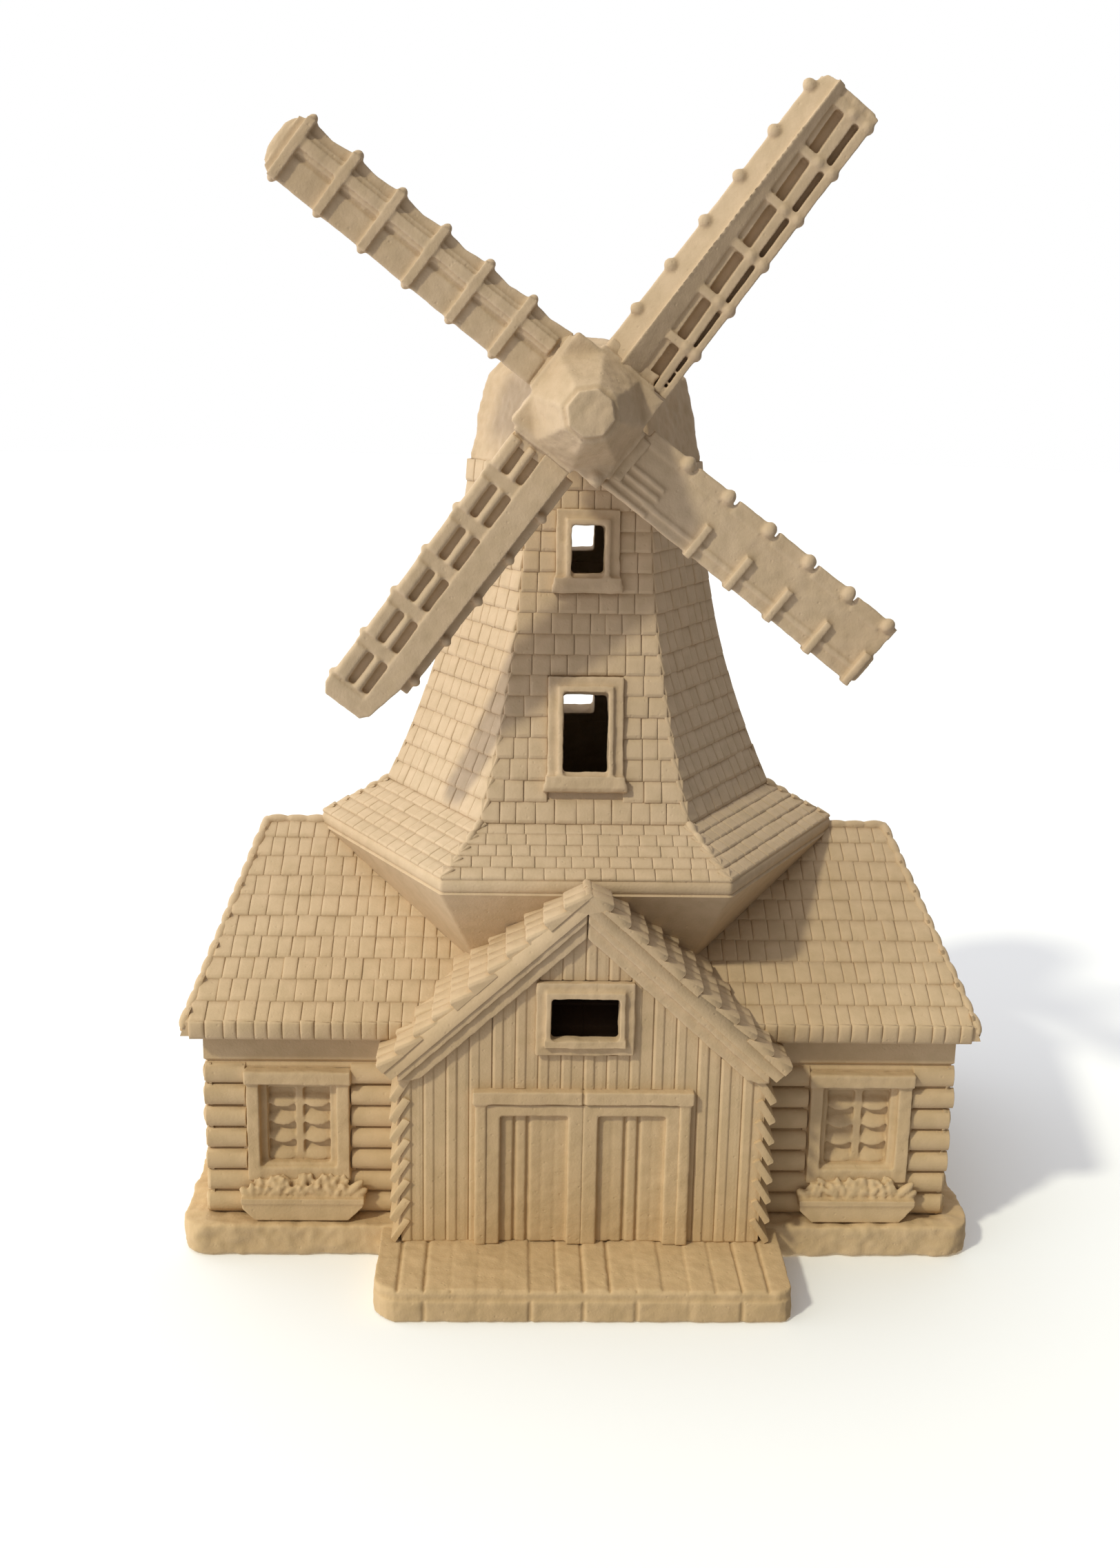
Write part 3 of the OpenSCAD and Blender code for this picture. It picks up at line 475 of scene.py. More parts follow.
bm = bmesh.new()
for side in (-1, 1):
    x0, x1 = sorted((side * post_in, side * post_out))
    bar(bm, (x0, post_face, door_foot), (x1, barn_back, post_top), house())
    x0, x1 = sorted((side * head_gap, side * head_out))
    bar(bm, (x0, head_face, head_foot), (x1, head_back, head_top), house())
bar(bm, (-post_out, lintel_face, head_foot), (post_out, barn_back, post_top), house())
cast_whole("barn_door_frame", bm, "house", "door_frame", voxel=0.42, softening=5, swell=0.2)

# Gable window. An open square hole in the barn's gable, in a broad raised border with a bead round
# the hole and a thin sill. Cast with the wall and pierced while the clay was still leather-hard.
border_half, border_foot, border_face, sill_back = 14.3, 69.4, -85.6, -82.8


def surround(bm, place, half, inner, foot, head, top, face, rear):
    for x0, z0, x1 in ((-half, foot, -inner), (inner, foot, half), (-half, head, half)):
        bar(bm, (x0, face, z0), (x1, rear, top), place)


bm = bmesh.new()
surround(bm, house(), half=border_half, inner=10.0, foot=border_foot, head=87.6, top=91.8,
         face=border_face, rear=barn_back)
surround(bm, house(), half=11.6, inner=9.6, foot=73.2, head=87.2, top=89.2, face=-86.9, rear=barn_back)
for half, face, rear, foot, top in (
        (border_half, -84.0, barn_back, border_foot, 71.2), (border_half, border_face, sill_back, border_foot, 74.4),
        (11.9, -87.3, sill_back, 72.4, 74.9)):
    bar(bm, (-half, face, foot), (half, rear, top), house())
cast_whole("gable_window_border", bm, "house", "gable_window_frame", voxel=0.45, softening=4, swell=0.3)

# House windows. In each wing a boarded frame stands proud of the logs, with a lintel that laps its
# posts. The sash is blind: two columns of four panes, each a hollow with a sloping sill, in one casting.
post_half, post_face, window_foot, window_top, window_back = 15.4, -69.8, 21.2, 57.2, -62
flange_half, flange_face, lintel_lap, lintel_foot, sill_top = 17, -66.7, 0.6, 53.0, 26.0
sash_half, sash_face, glass_face, sash_foot, sash_top = 11.9, -65.6, -64.0, 26.3, 52.1
pane_rows, pane_x, pane_z, pane_pitch, pane_tilt, pane_size = 4, 5.1, 28.6, 5.8, -32, (4.6, 1.0, 2.7, 1)


def lump(bm, place):
    made = bmesh.ops.create_icosphere(bm, subdivisions=2, radius=1)["verts"]
    for v in made:
        v.co = place @ v.co * mm


def turned(x, y, z, axis, degrees):
    return house(x, y, z) @ Matrix.Rotation(math.radians(degrees), 4, axis)


for side, word in sides:
    here = house(side * window_x)
    bm = bmesh.new()
    for x0, y0, z0, x1, z1 in (
            (-post_half, post_face, window_foot, -11.4, window_top),
            (11.2, post_face, window_foot, post_half, window_top),
            (-post_half, -69.6, window_foot, post_half, sill_top),
            (-post_half - lintel_lap, -70.9, lintel_foot, post_half + lintel_lap, 57.4),
            (-flange_half, flange_face, window_foot, flange_half, sill_top),
            (9.2, -67.6, 25.0, 11.6, 53.5), (-11.8, -66.8, 25.0, -9.4, 53.5), (-12.6, -68.2, 25.4, 12.6, 26.8)):
        bar(bm, (x0, y0, z0), (x1, window_back, z1), here)
    surround(bm, here, flange_half, 14, window_foot, lintel_foot, window_top, flange_face, window_back)
    cast_whole(word + "_window_boards", bm, "house", word + "_window_frame", voxel=0.45, softening=7, swell=0.25)

    bm = bmesh.new()
    bar(bm, (-sash_half, glass_face, sash_foot), (sash_half, window_back, sash_top), here)
    for x0, x1 in ((-sash_half, -9.3), (-1.2, 1.2), (9.3, sash_half)):
        bar(bm, (x0, sash_face, sash_foot), (x1, window_back, sash_top), here)
    bar(bm, (-sash_half, sash_face, 50.2), (sash_half, window_back, sash_top), here)
    bar(bm, (-sash_half, sash_face, sash_foot), (sash_half, window_back, 27.6), here)
    for row in range(pane_rows):
        for col in (-pane_x, pane_x):
            ledge = turned(side * window_x + col, -64.6, pane_z + row * pane_pitch, "X", pane_tilt)
            lump(bm, ledge @ Matrix.Diagonal(pane_size))
    cast_whole(word + "_window_panes", bm, "house", word + "_window_sash", voxel=0.38, softening=2, swell=0.1)

# Flower boxes. A planter hangs under each window, its ends sloped in at the foot, and is heaped
# with leaves and small blooms. It is modelled in the clay by hand, so no two leaves are alike.
box_reach = {"left": (-17, 19.5), "right": (-17.5, 17.5)}
box_front, box_back, box_foot, box_top = -73.6, -67.1, 10.1, 17.4
rim_foot, rim_top, rim_face, bed_foot, bed_steps = 15.8, 17.6, -74, 16, ((0, -71.8, 20.0), (1, -70.2, 22.0))
leaves, leaf_size, leaf_z, leaf_turn, leaf_tip = 80, (1.1, 1.8), (17.4, 22.6), 70, 0.4
for side, word in sides:
    bm = bmesh.new()
    rng = random.Random(70 + side)
    x0, x1 = box_reach[word]
    bed0, bed1 = x0 + 2.4, x1 - 5.5
    here = house(side * window_x)
    prism(bm, [(x0 + 4, box_foot), (x1 - 4.5, box_foot), (x1, 15), (x1, box_top), (x0, box_top), (x0, 14)],
          box_front, box_back, here)
    bar(bm, (x0 - 0.3, rim_face, rim_foot), (x1 + 0.3, box_back, rim_top), here)
    for inset, front, top in bed_steps:
        bar(bm, (bed0 + inset, front, bed_foot), (bed1 - inset, box_back, top), here)
    for i in range(leaves):
        x = rng.uniform(bed0, bed1)
        z = rng.uniform(*leaf_z)
        y = -69.2 - min(2.6, (23.4 - z) * 0.7) - rng.uniform(-0.3, 0.3)
        size = rng.uniform(*leaf_size)
        leaf = turned(side * window_x + x, y, z, "Y", rng.uniform(-leaf_turn, leaf_turn))
        leaf = leaf @ Matrix.Rotation(rng.uniform(-leaf_tip, leaf_tip), 4, "X")
        lump(bm, leaf @ Matrix.Diagonal((size * 0.62, size * 0.45, size * 1.3, 1)))
    for x, z, tilt, long in (
            (bed1 + 2.2, 19.6, -42, 4.6), (bed1 + 3.8, 18.2, -28, 3.4), (bed0 - 1.0, 18.4, 35, 2.8)):
        lump(bm, turned(side * window_x + x, -71.2, z, "Y", tilt) @ Matrix.Diagonal((long, 1.5, 1.5, 1)))
    cast_whole(word + "_planter", bm, "house", word + "_flower_box", voxel=0.4, softening=3, swell=0.1)

# Wing roofs. Each wing has two slopes and a steep hipped end, covered in courses of short shingles
# of random width, thick and round at the eaves. Shingles are pressed into the clay of the roof shell,
# which runs on under the barn roof, where painted shade makes it nearly black.
ridge_z, eave_z, eave_y, roof_courses, shingle_w, row_cover = 115, 73.5, 74, 10, 4.6, 1.12
hip_foot_x, hip_in, hip_lean, hip_rows, hip_row_z, hip_row_rise, hip_row_h = 116.5, 15, 0.361, 7, 70.6, 6.2, 7.0
butt_drop, butt_h, tile_r, tile_fill, hip_tiles, ridge_tiles, ridge_end_x = 4.5, 5.9, 1.9, 0.72, 13, 4, 76
funnel_half, funnel_flare, funnel_z, funnel_h, attic_depth = 51, 21.75, 80, 33.7, 3.5
rise, run = (ridge_z - eave_z) / roof_courses, eave_y / roof_courses
shingle = pillow("shingle", [(-0.5, 0.82), (-0.44, 0.96), (-0.3, 1), (0.3, 1), (0.44, 0.96), (0.5, 0.82)],
                 [(0, 0.55), (0.05, 0.86), (0.15, 1), (0.6, 0.72), (1, 0.45)])
butt = pillow("butt", [(-0.5, 0.72), (-0.42, 0.93), (-0.28, 1), (0.28, 1), (0.42, 0.93), (0.5, 0.72)],
              [(0, 0), (0.15, 0.45), (0.4, 0.85), (0.7, 1), (0.9, 0.95), (1, 0.75)])
attic_shaded_clay = bisque_clay("attic_bisque", pale_clay, tan_clay, clay_mottle,
                         barn_ridge_z - attic_depth, barn_fall / barn_half)


def hip_x(z):
    return hip_foot_x - (z - eave_z) * hip_in / (ridge_z - eave_z)


def valley_x(z):
    return max(0.0, (barn_ridge_z - z) * barn_half / barn_fall)


def across_flats(p):
    x, y = p[0], p[1] - tower_y
    return max(abs(y), abs(0.866 * x + 0.5 * y), abs(0.866 * x - 0.5 * y))


def in_foot(p):
    return p[2] > funnel_z and across_flats(p) < funnel_half + funnel_flare * (p[2] - funnel_z) / funnel_h - 2


for side, word in sides:
    rng = random.Random(90 + side)
    spots, eave = [], []
    for face in (-1, 1):
        up, out = Vector((0, -face * run, rise)), Vector((0, face * rise, run))
        for i in range(roof_courses):
            y, z = face * (eave_y - i * run) + tower_y, eave_z + i * rise
            inner = valley_x(z + rise) - 1 if face < 0 else 0.2
            a = Vector((side * (hip_x(z + rise * 0.7) + rng.uniform(-0.3, 0.3)), y, z))
            b = Vector((side * inner, y, z))
            height = up.length * (row_cover if i < roof_courses - 1 else 1.0)
            row = row_of(a, b, up, out, shingle_w, height, rng)
            row = [s for s in row if not in_foot(s[0] + up * 0.6)]
            spots += row
            if i == 0:
                for at, _, _, width, _ in row:
                    foot = Vector((at[0], y - face * 0.3, eave_z - butt_drop))
                    eave.append((foot, above, Vector((0, face, 0)), width, butt_h))
    up, out = Vector((-side * hip_lean, 0, 1)), Vector((side, 0, hip_lean))
    for i in range(hip_rows):
        z = hip_row_z + i * hip_row_rise
        reach = min(eave_y - 1, (ridge_z - z - 4) * eave_y / (ridge_z - eave_z))
        a = Vector((side * hip_x(z), tower_y - reach, z))
        b = Vector((side * hip_x(z), tower_y + reach, z))
        spots += row_of(a, b, up, out, shingle_w, hip_row_h, rng)
    laid(word + "_wing_shingles", spots, shingle, thickness=1.2, joint=0.1, unevenness=0.8, seed=110 + side)
    laid(word + "_wing_eaves", eave, butt, thickness=1.4, joint=0.1, unevenness=0.8, seed=120 + side)
    bm = bmesh.new()
    corner_top = Vector((side * hip_x(ridge_z), tower_y, ridge_z + 0.3))
    for foot, count in ((Vector((side * hip_x(eave_z - 1), tower_y - eave_y + 0.5, eave_z - 0.6)), hip_tiles),
                        (Vector((side * hip_x(eave_z - 1), tower_y + eave_y - 0.5, eave_z - 0.6)), hip_tiles),
                        (Vector((side * ridge_end_x, tower_y, ridge_z + 0.3)), ridge_tiles)):
        along = corner_top - foot
        tile = along.to_track_quat("Z", "Y").to_matrix().to_4x4()
        tile = tile @ Matrix.Diagonal((tile_r, tile_r, along.length / count * tile_fill, 1))
        for i in range(count):
            lump(bm, Matrix.Translation(foot.lerp(corner_top, (i + 0.5) / count)) @ tile)
    cast_whole(word + "_hip_tiles", bm, "house", voxel=0.5, softening=2, swell=0.2)
    coat(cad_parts[word + "_wing_roof"], attic_shaded_clay)

# Barn roof. Two steeper slopes over the barn, shingled like the wings but with thicker shingles, so
# that their ends step along the verge. The shell's lower corners are trimmed, and a smooth barge board
# with a raised lip runs under each verge.
barn_courses, barn_shingle_w, verge_y, barn_rear_y, trim_x, trim_z = 11, 6.0, -87.4, -66.5, 57.9, 65.0
barn_run, barn_rise = barn_half / barn_courses, barn_fall / barn_courses
verge_shingle = pillow("verge_shingle", [(-0.5, 0.86), (-0.44, 1), (0.44, 1), (0.5, 0.86)],
                       [(-0.05, 0.72), (-0.01, 0.94), (0.06, 1), (0.6, 0.5), (1, 0.14)])
rng = random.Random(31)
spots = []
for side in (-1, 1):
    up, out = Vector((-side * barn_run, 0, barn_rise)), Vector((side * barn_rise, 0, barn_run))
    for i in range(barn_courses):
        x, z = side * (barn_half - i * barn_run), barn_eave_z + i * barn_rise
        rear = barn_rear_y if z < 71 else (min(z + barn_rise, 114) - ridge_z) * eave_y / (ridge_z - eave_z)
        a = Vector((x, verge_y + tower_y + rng.uniform(-0.5, 0.4), z))
        b = Vector((x, rear + tower_y, z))
        row = row_of(a, b, up, out, barn_shingle_w, up.length * row_cover, rng)
        spots += [s for s in row if not in_foot(s[0] + up * 0.6)]
laid("barn_shingles", spots, verge_shingle, thickness=2.9, joint=0.0, unevenness=0.8, seed=33)


def plain_piece(name, bm, body, *nodes):
    return finished(smoothed(modelled(name, bm), 35), body, nodes)


bm = bmesh.new()
node_copy(bm, "barn_roof")
for side in (-1, 1):
    bmesh.ops.bisect_plane(bm, geom=bm.verts[:] + bm.edges[:] + bm.faces[:], dist=1e-7, clear_outer=True,
                           plane_co=Vector((side * trim_x, 0, trim_z)) * mm,
                           plane_no=Vector((side, 0, -1)).normalized())
    bmesh.ops.holes_fill(bm, edges=[e for e in bm.edges if e.is_boundary], sides=0)
plain_piece("barn_roof_shell", bm, "house", "barn_roof")

barge_foot_z, barge_end_x, barge_lip, barge_board = 62.0, 53.6, (5.0, 8.4), (7.0, 13.3)
lip_face, barge_face, barge_back = -86.9, -85.7, -83.5
barge_foot = [(46.5, 62.4), (50.6, 61.2), (53.8, 61.2), (54.0, 63.5), (50, 66.5)]


def slope_x(below):
    return (barn_ridge_z - below - barge_foot_z) * barn_half / barn_fall


for side, word in sides:
    bm = bmesh.new()
    for (hi, lo), face in ((barge_lip, lip_face), (barge_board, barge_face)):
        end_z = barge_foot_z + (slope_x(hi) - barge_end_x) * barn_fall / barn_half
        outline = [(0.05, barn_ridge_z - lo), (slope_x(lo), barge_foot_z), (barge_end_x, barge_foot_z),
                   (barge_end_x, end_z), (0.05, barn_ridge_z - hi)]
        prism(bm, [(side * x, z) for x, z in outline], face, barge_back, house())
    prism(bm, [(side * x, z) for x, z in barge_foot], barge_face, barge_back, house())
    cast_whole(word + "_barge", bm, "house", word + "_barge_board", voxel=0.42, softening=3, swell=0.2)

# Tower foot. A plain six-sided funnel that carries the tower down through the roofs. It is cast
# smooth, with its corners rounded by the mould, cut open towards the barn's attic and joined to the
# tower with slip.
corner_soft, funnel_wall, funnel_steps, funnel_rise = 1.6, 6, 8, 33.6
attic_way = [(-34, 78), (34, 78), (0, 109)]


def six_sided(half, z, soft):
    loop = []
    for k in range(6):
        corner = math.radians(60 * k)
        reach = (half - soft) / math.cos(math.radians(30))
        for bend in (-30, -10, 10, 30):
            turn = corner + math.radians(bend)
            loop.append(Vector((reach * math.cos(corner) + soft * math.cos(turn),
                                reach * math.sin(corner) + soft * math.sin(turn) + tower_y, z)) * mm)
    return loop


def drawn_round(bm, profile, soft):
    loops = [[bm.verts.new(p) for p in six_sided(half, z, soft)] for half, z in profile]
    for a, b in zip(loops, loops[1:] + loops[:1]):
        for i in range(len(a)):
            j = (i + 1) % len(a)
            bm.faces.new((a[i], a[j], b[j], b[i]))
    bmesh.ops.recalc_face_normals(bm, faces=bm.faces)


bm = bmesh.new()
steps = [i / funnel_steps for i in range(funnel_steps + 1)]
outside = [(funnel_half + funnel_flare * t, funnel_z + funnel_rise * t) for t in steps]
inside = [(half - funnel_wall, z) for half, z in outside[::-1]]
drawn_round(bm, outside + [(71.9, 114.5), (66.0, 114.5)] + inside, corner_soft)
funnel = plain_piece("tower_funnel", bm, "house", "tower_foot")


def pierced(piece, bm):
    cutter = modelled("cutter", bm)
    pierce = piece.modifiers.new("pierce", "BOOLEAN")
    pierce.operation, pierce.object, pierce.solver = "DIFFERENCE", cutter, "EXACT"
    baked(piece)
    bpy.data.objects.remove(cutter)


bm = bmesh.new()
prism(bm, attic_way, -80, -30, house())
pierced(funnel, bm)

# Tower. A hollow six-sided shell that sweeps out to a skirt with a thick round rim, pierced for four
# windows and covered in courses of random shingles like the roofs. The courses overlap at the corners.
skirt_half, foot_half, top_half, skirt_z, foot_z, top_z, wall = 72.75, 53.3, 31.5, 118, 129.5, 232, 5
courses, skirt_courses, tower_shingle_w, tower_cover, butt_half, butt_z = 17, 5, 5.5, 1.14, 72.3, 118.1
window_holes, bare_walls = ((11.3, 139.8, 171.2), (9.5, 197.4, 220.4)), ((11.2, 138.2, 171.2), (9.4, 196.0, 220.4))


def tower_half(z):
    return top_half + (foot_half - top_half) * ((top_z - z) / (top_z - foot_z)) ** 2


bm = bmesh.new()
rim = [(70.6, 113.75), (71.8, 113.9), (72.5, 114.5), (72.75, 115.4), (72.75, 116.6), (72.4, 117.7), (71.4, 118.6)]
sweep = [(skirt_half + (foot_half - skirt_half) * t, skirt_z + (foot_z - skirt_z) * t)
         for t in (0.2, 0.4, 0.6, 0.8)]
levels = [foot_z + (top_z - foot_z) * i / 20 for i in range(21)]
outside = [(tower_half(z), z) for z in levels]
inside = [(half - wall, z) for half, z in outside[::-1]]
drawn_round(bm, rim + sweep + outside + inside + [(66.8, 113.75)], corner_soft)
shell = plain_piece("tower_wall", bm, "house", "tower_shell")
bm = bmesh.new()
for half, z0, z1 in window_holes:
    bar(bm, (-half, -90, z0), (half, 90, z1), house())
pierced(shell, bm)

rng = random.Random(17)
rows = []
for i in range(skirt_courses):
    a, b = i / skirt_courses, (i + 1) / skirt_courses
    rows.append([(butt_half + (foot_half - butt_half) * t, butt_z + (foot_z - butt_z) * t) for t in (a, b)])
for i in range(courses):
    z0, z1 = foot_z + (top_z - foot_z) * i / courses, foot_z + (top_z - foot_z) * (i + 1) / courses
    rows.append([(tower_half(z0), z0), (tower_half(z1), z1)])
skirt_spots, tower_spots = [], []
for number, ((h0, z0), (h1, z1)) in enumerate(rows):
    for k in range(6):
        facing = math.radians(60 * k - 90)
        out_flat = Vector((math.cos(facing), math.sin(facing), 0))
        along = Vector((-math.sin(facing), math.cos(facing), 0))
        up = out_flat * (h1 - h0) + above * (z1 - z0)
        out = out_flat * (z1 - z0) - above * (h1 - h0)
        reach = h0 / math.sqrt(3)
        mid = out_flat * h0 + Vector((0, tower_y, z0))
        spans = [(-reach, reach)]
        if k in (0, 3):
            for half, w0, w1 in bare_walls:
                if w0 < (z0 + z1) / 2 < w1:
                    spans = [(-reach, -half), (half, reach)]
        covered = skirt_spots if number < skirt_courses else tower_spots
        for a, b in spans:
            covered.extend(row_of(mid + along * a, mid + along * b, up, out,
                                  tower_shingle_w, up.length * tower_cover, rng))
laid("tower_shingles", tower_spots, shingle, thickness=1.2, joint=0.1, unevenness=1.0, seed=52)
laid("skirt_shingles", skirt_spots, shingle, thickness=0.85, joint=0.1, unevenness=0.5, seed=53)
corner_low, corner_high, corner_tile = (skirt_half - 1.6, 117.6), (foot_half - 0.6, foot_z + 1.2), (1.5, 1.5, 2.8, 1)
bm = bmesh.new()
for k in range(6):
    turn, to_corner = math.radians(60 * k), 1 / math.cos(math.pi / 6)
    low, high = [Vector((h * to_corner * math.cos(turn), h * to_corner * math.sin(turn) + tower_y, z))
                 for h, z in (corner_low, corner_high)]
    tile = (high - low).to_track_quat("Z", "Y").to_matrix().to_4x4() @ Matrix.Diagonal(corner_tile)
    for i in range(skirt_courses):
        lump(bm, Matrix.Translation(low.lerp(high, (i + 0.5) / skirt_courses)) @ tile)
cast_whole("skirt_corner_tiles", bm, "house", voxel=0.5, softening=3, swell=0.1)

# Tower windows. Front and back have an open window below and a smaller one above, each in a soft
# raised border that leans with the wall, with a bead round the hole and a sill that flares out below.
over_hole, border_w, border_out, border_back, hole_in, bead_w, bead_out = 9.2, 4.6, -2.4, 4.6, 4.7, 1.7, -3.7
for face, word in ((0, "front"), (180, "rear")):
    for name, half_w, open_h, z0 in (("lower", 6.8, 22.6, 139.6), ("upper", 5.0, 14.2, 197.2)):
        tall = open_h + over_hole
        lean = math.atan2(tower_half(z0) - tower_half(z0 + tall), tall)
        here = house() @ Matrix.Rotation(math.radians(face), 4, "Z") @ Matrix.Translation(
            (0, -tower_half(z0), z0)) @ Matrix.Rotation(-lean, 4, "X")
        wide, up_to = half_w + border_w, tall / math.cos(lean)
        hole0, hole1 = hole_in / math.cos(lean), up_to - hole_in
        bead, bead_top = half_w + bead_w, hole1 + bead_w
        bm = bmesh.new()
        surround(bm, here, wide, half_w, 0, hole1, up_to, border_out, border_back)
        surround(bm, here, bead, half_w - 0.2, 3, hole1 - 0.2, bead_top, bead_out, border_back)
        for half, face_y, foot, top in (
                (wide, border_out, 0, hole0), (wide + 0.6, -4.2, -0.4, 3.4), (wide + 1.2, -3.6, -1.4, 1.0)):
            bar(bm, (-half, face_y, foot), (half, border_back, top), here)
        place = name + "_" + word
        cast_whole(place + "_border", bm, "house", place + "_frame", voxel=0.45, softening=5, swell=0.3)

# Cap. A hollow six-sided dome that closes the tower, with a round neck in front for the axle's bush.
# It is a plain casting, smoothed with a wet sponge. The bush is a turned brass sleeve, glued in.
bm = bmesh.new()
node_copy(bm, "cap")
cast_whole("cap_dome", bm, "house", "cap", voxel=0.7, softening=7, swell=0.5)


def worked_metal(name, bright, dull, rough, ring_scale):
    metal = bpy.data.materials.new(name)
    metal.use_nodes = True
    tree = metal.node_tree
    tarnish_scale, wobble, groove_strength, groove_depth = 240, 1.5, 0.2, 0.00008
    place = wired(tree, "ShaderNodeTexCoord")["Object"]
    tarnish = wired(tree, "ShaderNodeTexNoise", {"Vector": place, "Scale": tarnish_scale, "Detail": 4})[0]
    tint = ramp(tree, tarnish, [(0.35, dull), (0.65, bright)])
    rings = wired(tree, "ShaderNodeTexWave", {"Vector": place, "Scale": ring_scale, "Distortion": wobble},
                  bands_direction="Y")[1]
    groove = wired(tree, "ShaderNodeBump", {
        "Height": rings, "Strength": groove_strength, "Distance": groove_depth})[0]
    worn = wired(tree, "ShaderNodeMapRange", {"Value": tarnish, "To Min": rough - 0.08, "To Max": rough + 0.12})[0]
    feed(tree.nodes["Principled BSDF"], {
        "Base Color": tint, "Normal": groove, "Roughness": worn, "Metallic": 1.0})
    return metal


turned_brass = worked_metal("turned_brass", (0.80, 0.62, 0.30), (0.52, 0.38, 0.17), 0.34, 900)
coat(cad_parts["axle_bush"], turned_brass)

# Axle. A drawn steel rod fixed in the hub, with a washer at each end of the bush and a collar behind
# that keeps the sails from sliding off.
drawn_steel = worked_metal("drawn_steel", (0.66, 0.66, 0.67), (0.40, 0.39, 0.38), 0.30, 700)
for n in ("axle", "front_washer", "rear_washer", "retaining_collar"):
    coat(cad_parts[n], drawn_steel)

# Hub. A square block with a collar for each sail's root and an eight-sided nose that ends in a flat
# boss, cast solid in one with them and left soft at every edge.
axle_x, axle_z, sail_y, sail_turn = -2.4, 250, 60, 52.8


def on_sail(k):
    return Matrix.Translation((axle_x, tower_y - sail_y, axle_z)) @ Matrix.Rotation(
        -math.radians(sail_turn + 90 * k), 4, "Y")


bm = bmesh.new()
node_copy(bm, "hub", "hub_boss")
for k, lead, trail in ((0, 7.5, -11), (1, 5, -13), (2, 7, -13), (3, 5, -11)):
    bar(bm, (9, -6.4, trail), (16.4, 2, lead), on_sail(k))
    bar(bm, (14, -4.2, trail + 1), (19.5, 0.5, lead - 1), on_sail(k))
lump(bm, on_sail(2) @ Matrix.Translation((13, -6.5, 13)) @ Matrix.Diagonal((2.6, 2.2, 2.6, 1)))
cast_whole("hub_casting", bm, "rotor", "hub", "hub_boss", voxel=0.45, softening=12, swell=0.35)

# Sails. Four castings, each of its own pattern, stuck into the hub's collars with slip: lattice with
# a tall spar, sheet over bars, lattice beside a broad board, and plain sheet with short bars.
# Sizes are taken outwards from the axle, across towards the leading edge, and up from the back.
sail_start, sail_long, first_bar, bar_pitch, bars = 15, 91, 29.5, 14.6, 6
sail_root, bar_u = 15.3, [first_bar + bar_pitch * i for i in range(bars)]


def outward(u):
    return (u - sail_start) / sail_long


def beam(bm, u0, root, u1, tip, place):
    ends = [[bm.verts.new(place @ Vector((u, -w, v)) * mm) for v, w in outline]
            for u, outline in ((u0, root), (u1, tip))]
    n = len(root)
    faces = [bm.faces.new(ends[0]), bm.faces.new(ends[1][::-1])]
    for i in range(n):
        faces.append(bm.faces.new((ends[0][i], ends[1][i], ends[1][(i + 1) % n], ends[0][(i + 1) % n])))
    bmesh.ops.recalc_face_normals(bm, faces=faces)


def taper(bm, u0, root, u1, tip, high, place):
    beam(bm, u0, [(root[0], 0), (root[1], 0), (root[1], high), (root[0], high)],
         u1, [(tip[0], 0), (tip[1], 0), (tip[1], high), (tip[0], high)], place)


def knob(bm, u, v, w, r, place):
    lump(bm, place @ Matrix.Translation((u, -w, v)) @ Matrix.Diagonal((r, r, r * 1.1, 1)))


# Upper right: a tall tapered spar with a ledge beside it, a board that slopes from it to the leading
# edge with a knob at each bar, and two trailing laths that widen where the bars cross them.
here, bm = on_sail(0), bmesh.new()
taper(bm, sail_root, (-14.2, 6.4), 105.6, (-13.4, 5.0), 0.8, here)
board_root = [(6.8, 0), (6.8, 2.4), (1.0, 5.6), (-2.0, 5.6), (-2.0, 0)]
board_tip = [(6.4, 0), (6.4, 2.4), (1.1, 5.2), (-0.6, 5.2), (-0.6, 0)]
board_end = [(3.9, 0), (3.9, 2.2), (1.0, 4.6), (-0.6, 4.6), (-0.6, 0)]
spar_root = [(0.9, 0), (0.9, 7.0), (-5.2, 4.3), (-5.2, 0)]
spar_tip = [(1.0, 0), (1.0, 6.7), (-1.4, 5.2), (-1.4, 0)]
beam(bm, sail_root, board_root, 101.5, board_tip, here)
beam(bm, 101.5, board_tip, 106.6, board_end, here)
beam(bm, sail_root, spar_root, 106.8, spar_tip, here)
taper(bm, sail_root, (-7.3, -5.0), 105.5, (-3.1, -1.0), 3.8, here)
taper(bm, sail_root, (-12.4, -10.2), 105.8, (-9.0, -5.6), 4.7, here)
taper(bm, sail_root, (-15.0, -13.2), 105.8, (-13.9, -10.9), 4.7, here)
for u in bar_u:
    t = outward(u)
    bar(bm, (u - 1.3, -4.8, -14.6 + 0.9 * t), (u + 1.3, 0, -5.4 + 4.0 * t), here)
    for v in (-14.0 + 1.4 * t, -11.3 + 4.0 * t):
        knob(bm, u, v, 3.6, 2.0, here)
    knob(bm, u - 1.2 * t, 5.9, 2.4, 2.0, here)
taper(bm, 103.4, (-13.6, 1.0), 106.4, (-12.4, 0.5), 4.4, here)
cast_whole("upper_right_lattice_sail", bm, "rotor", "upper_right_sail", voxel=0.42, softening=3, swell=0.15)

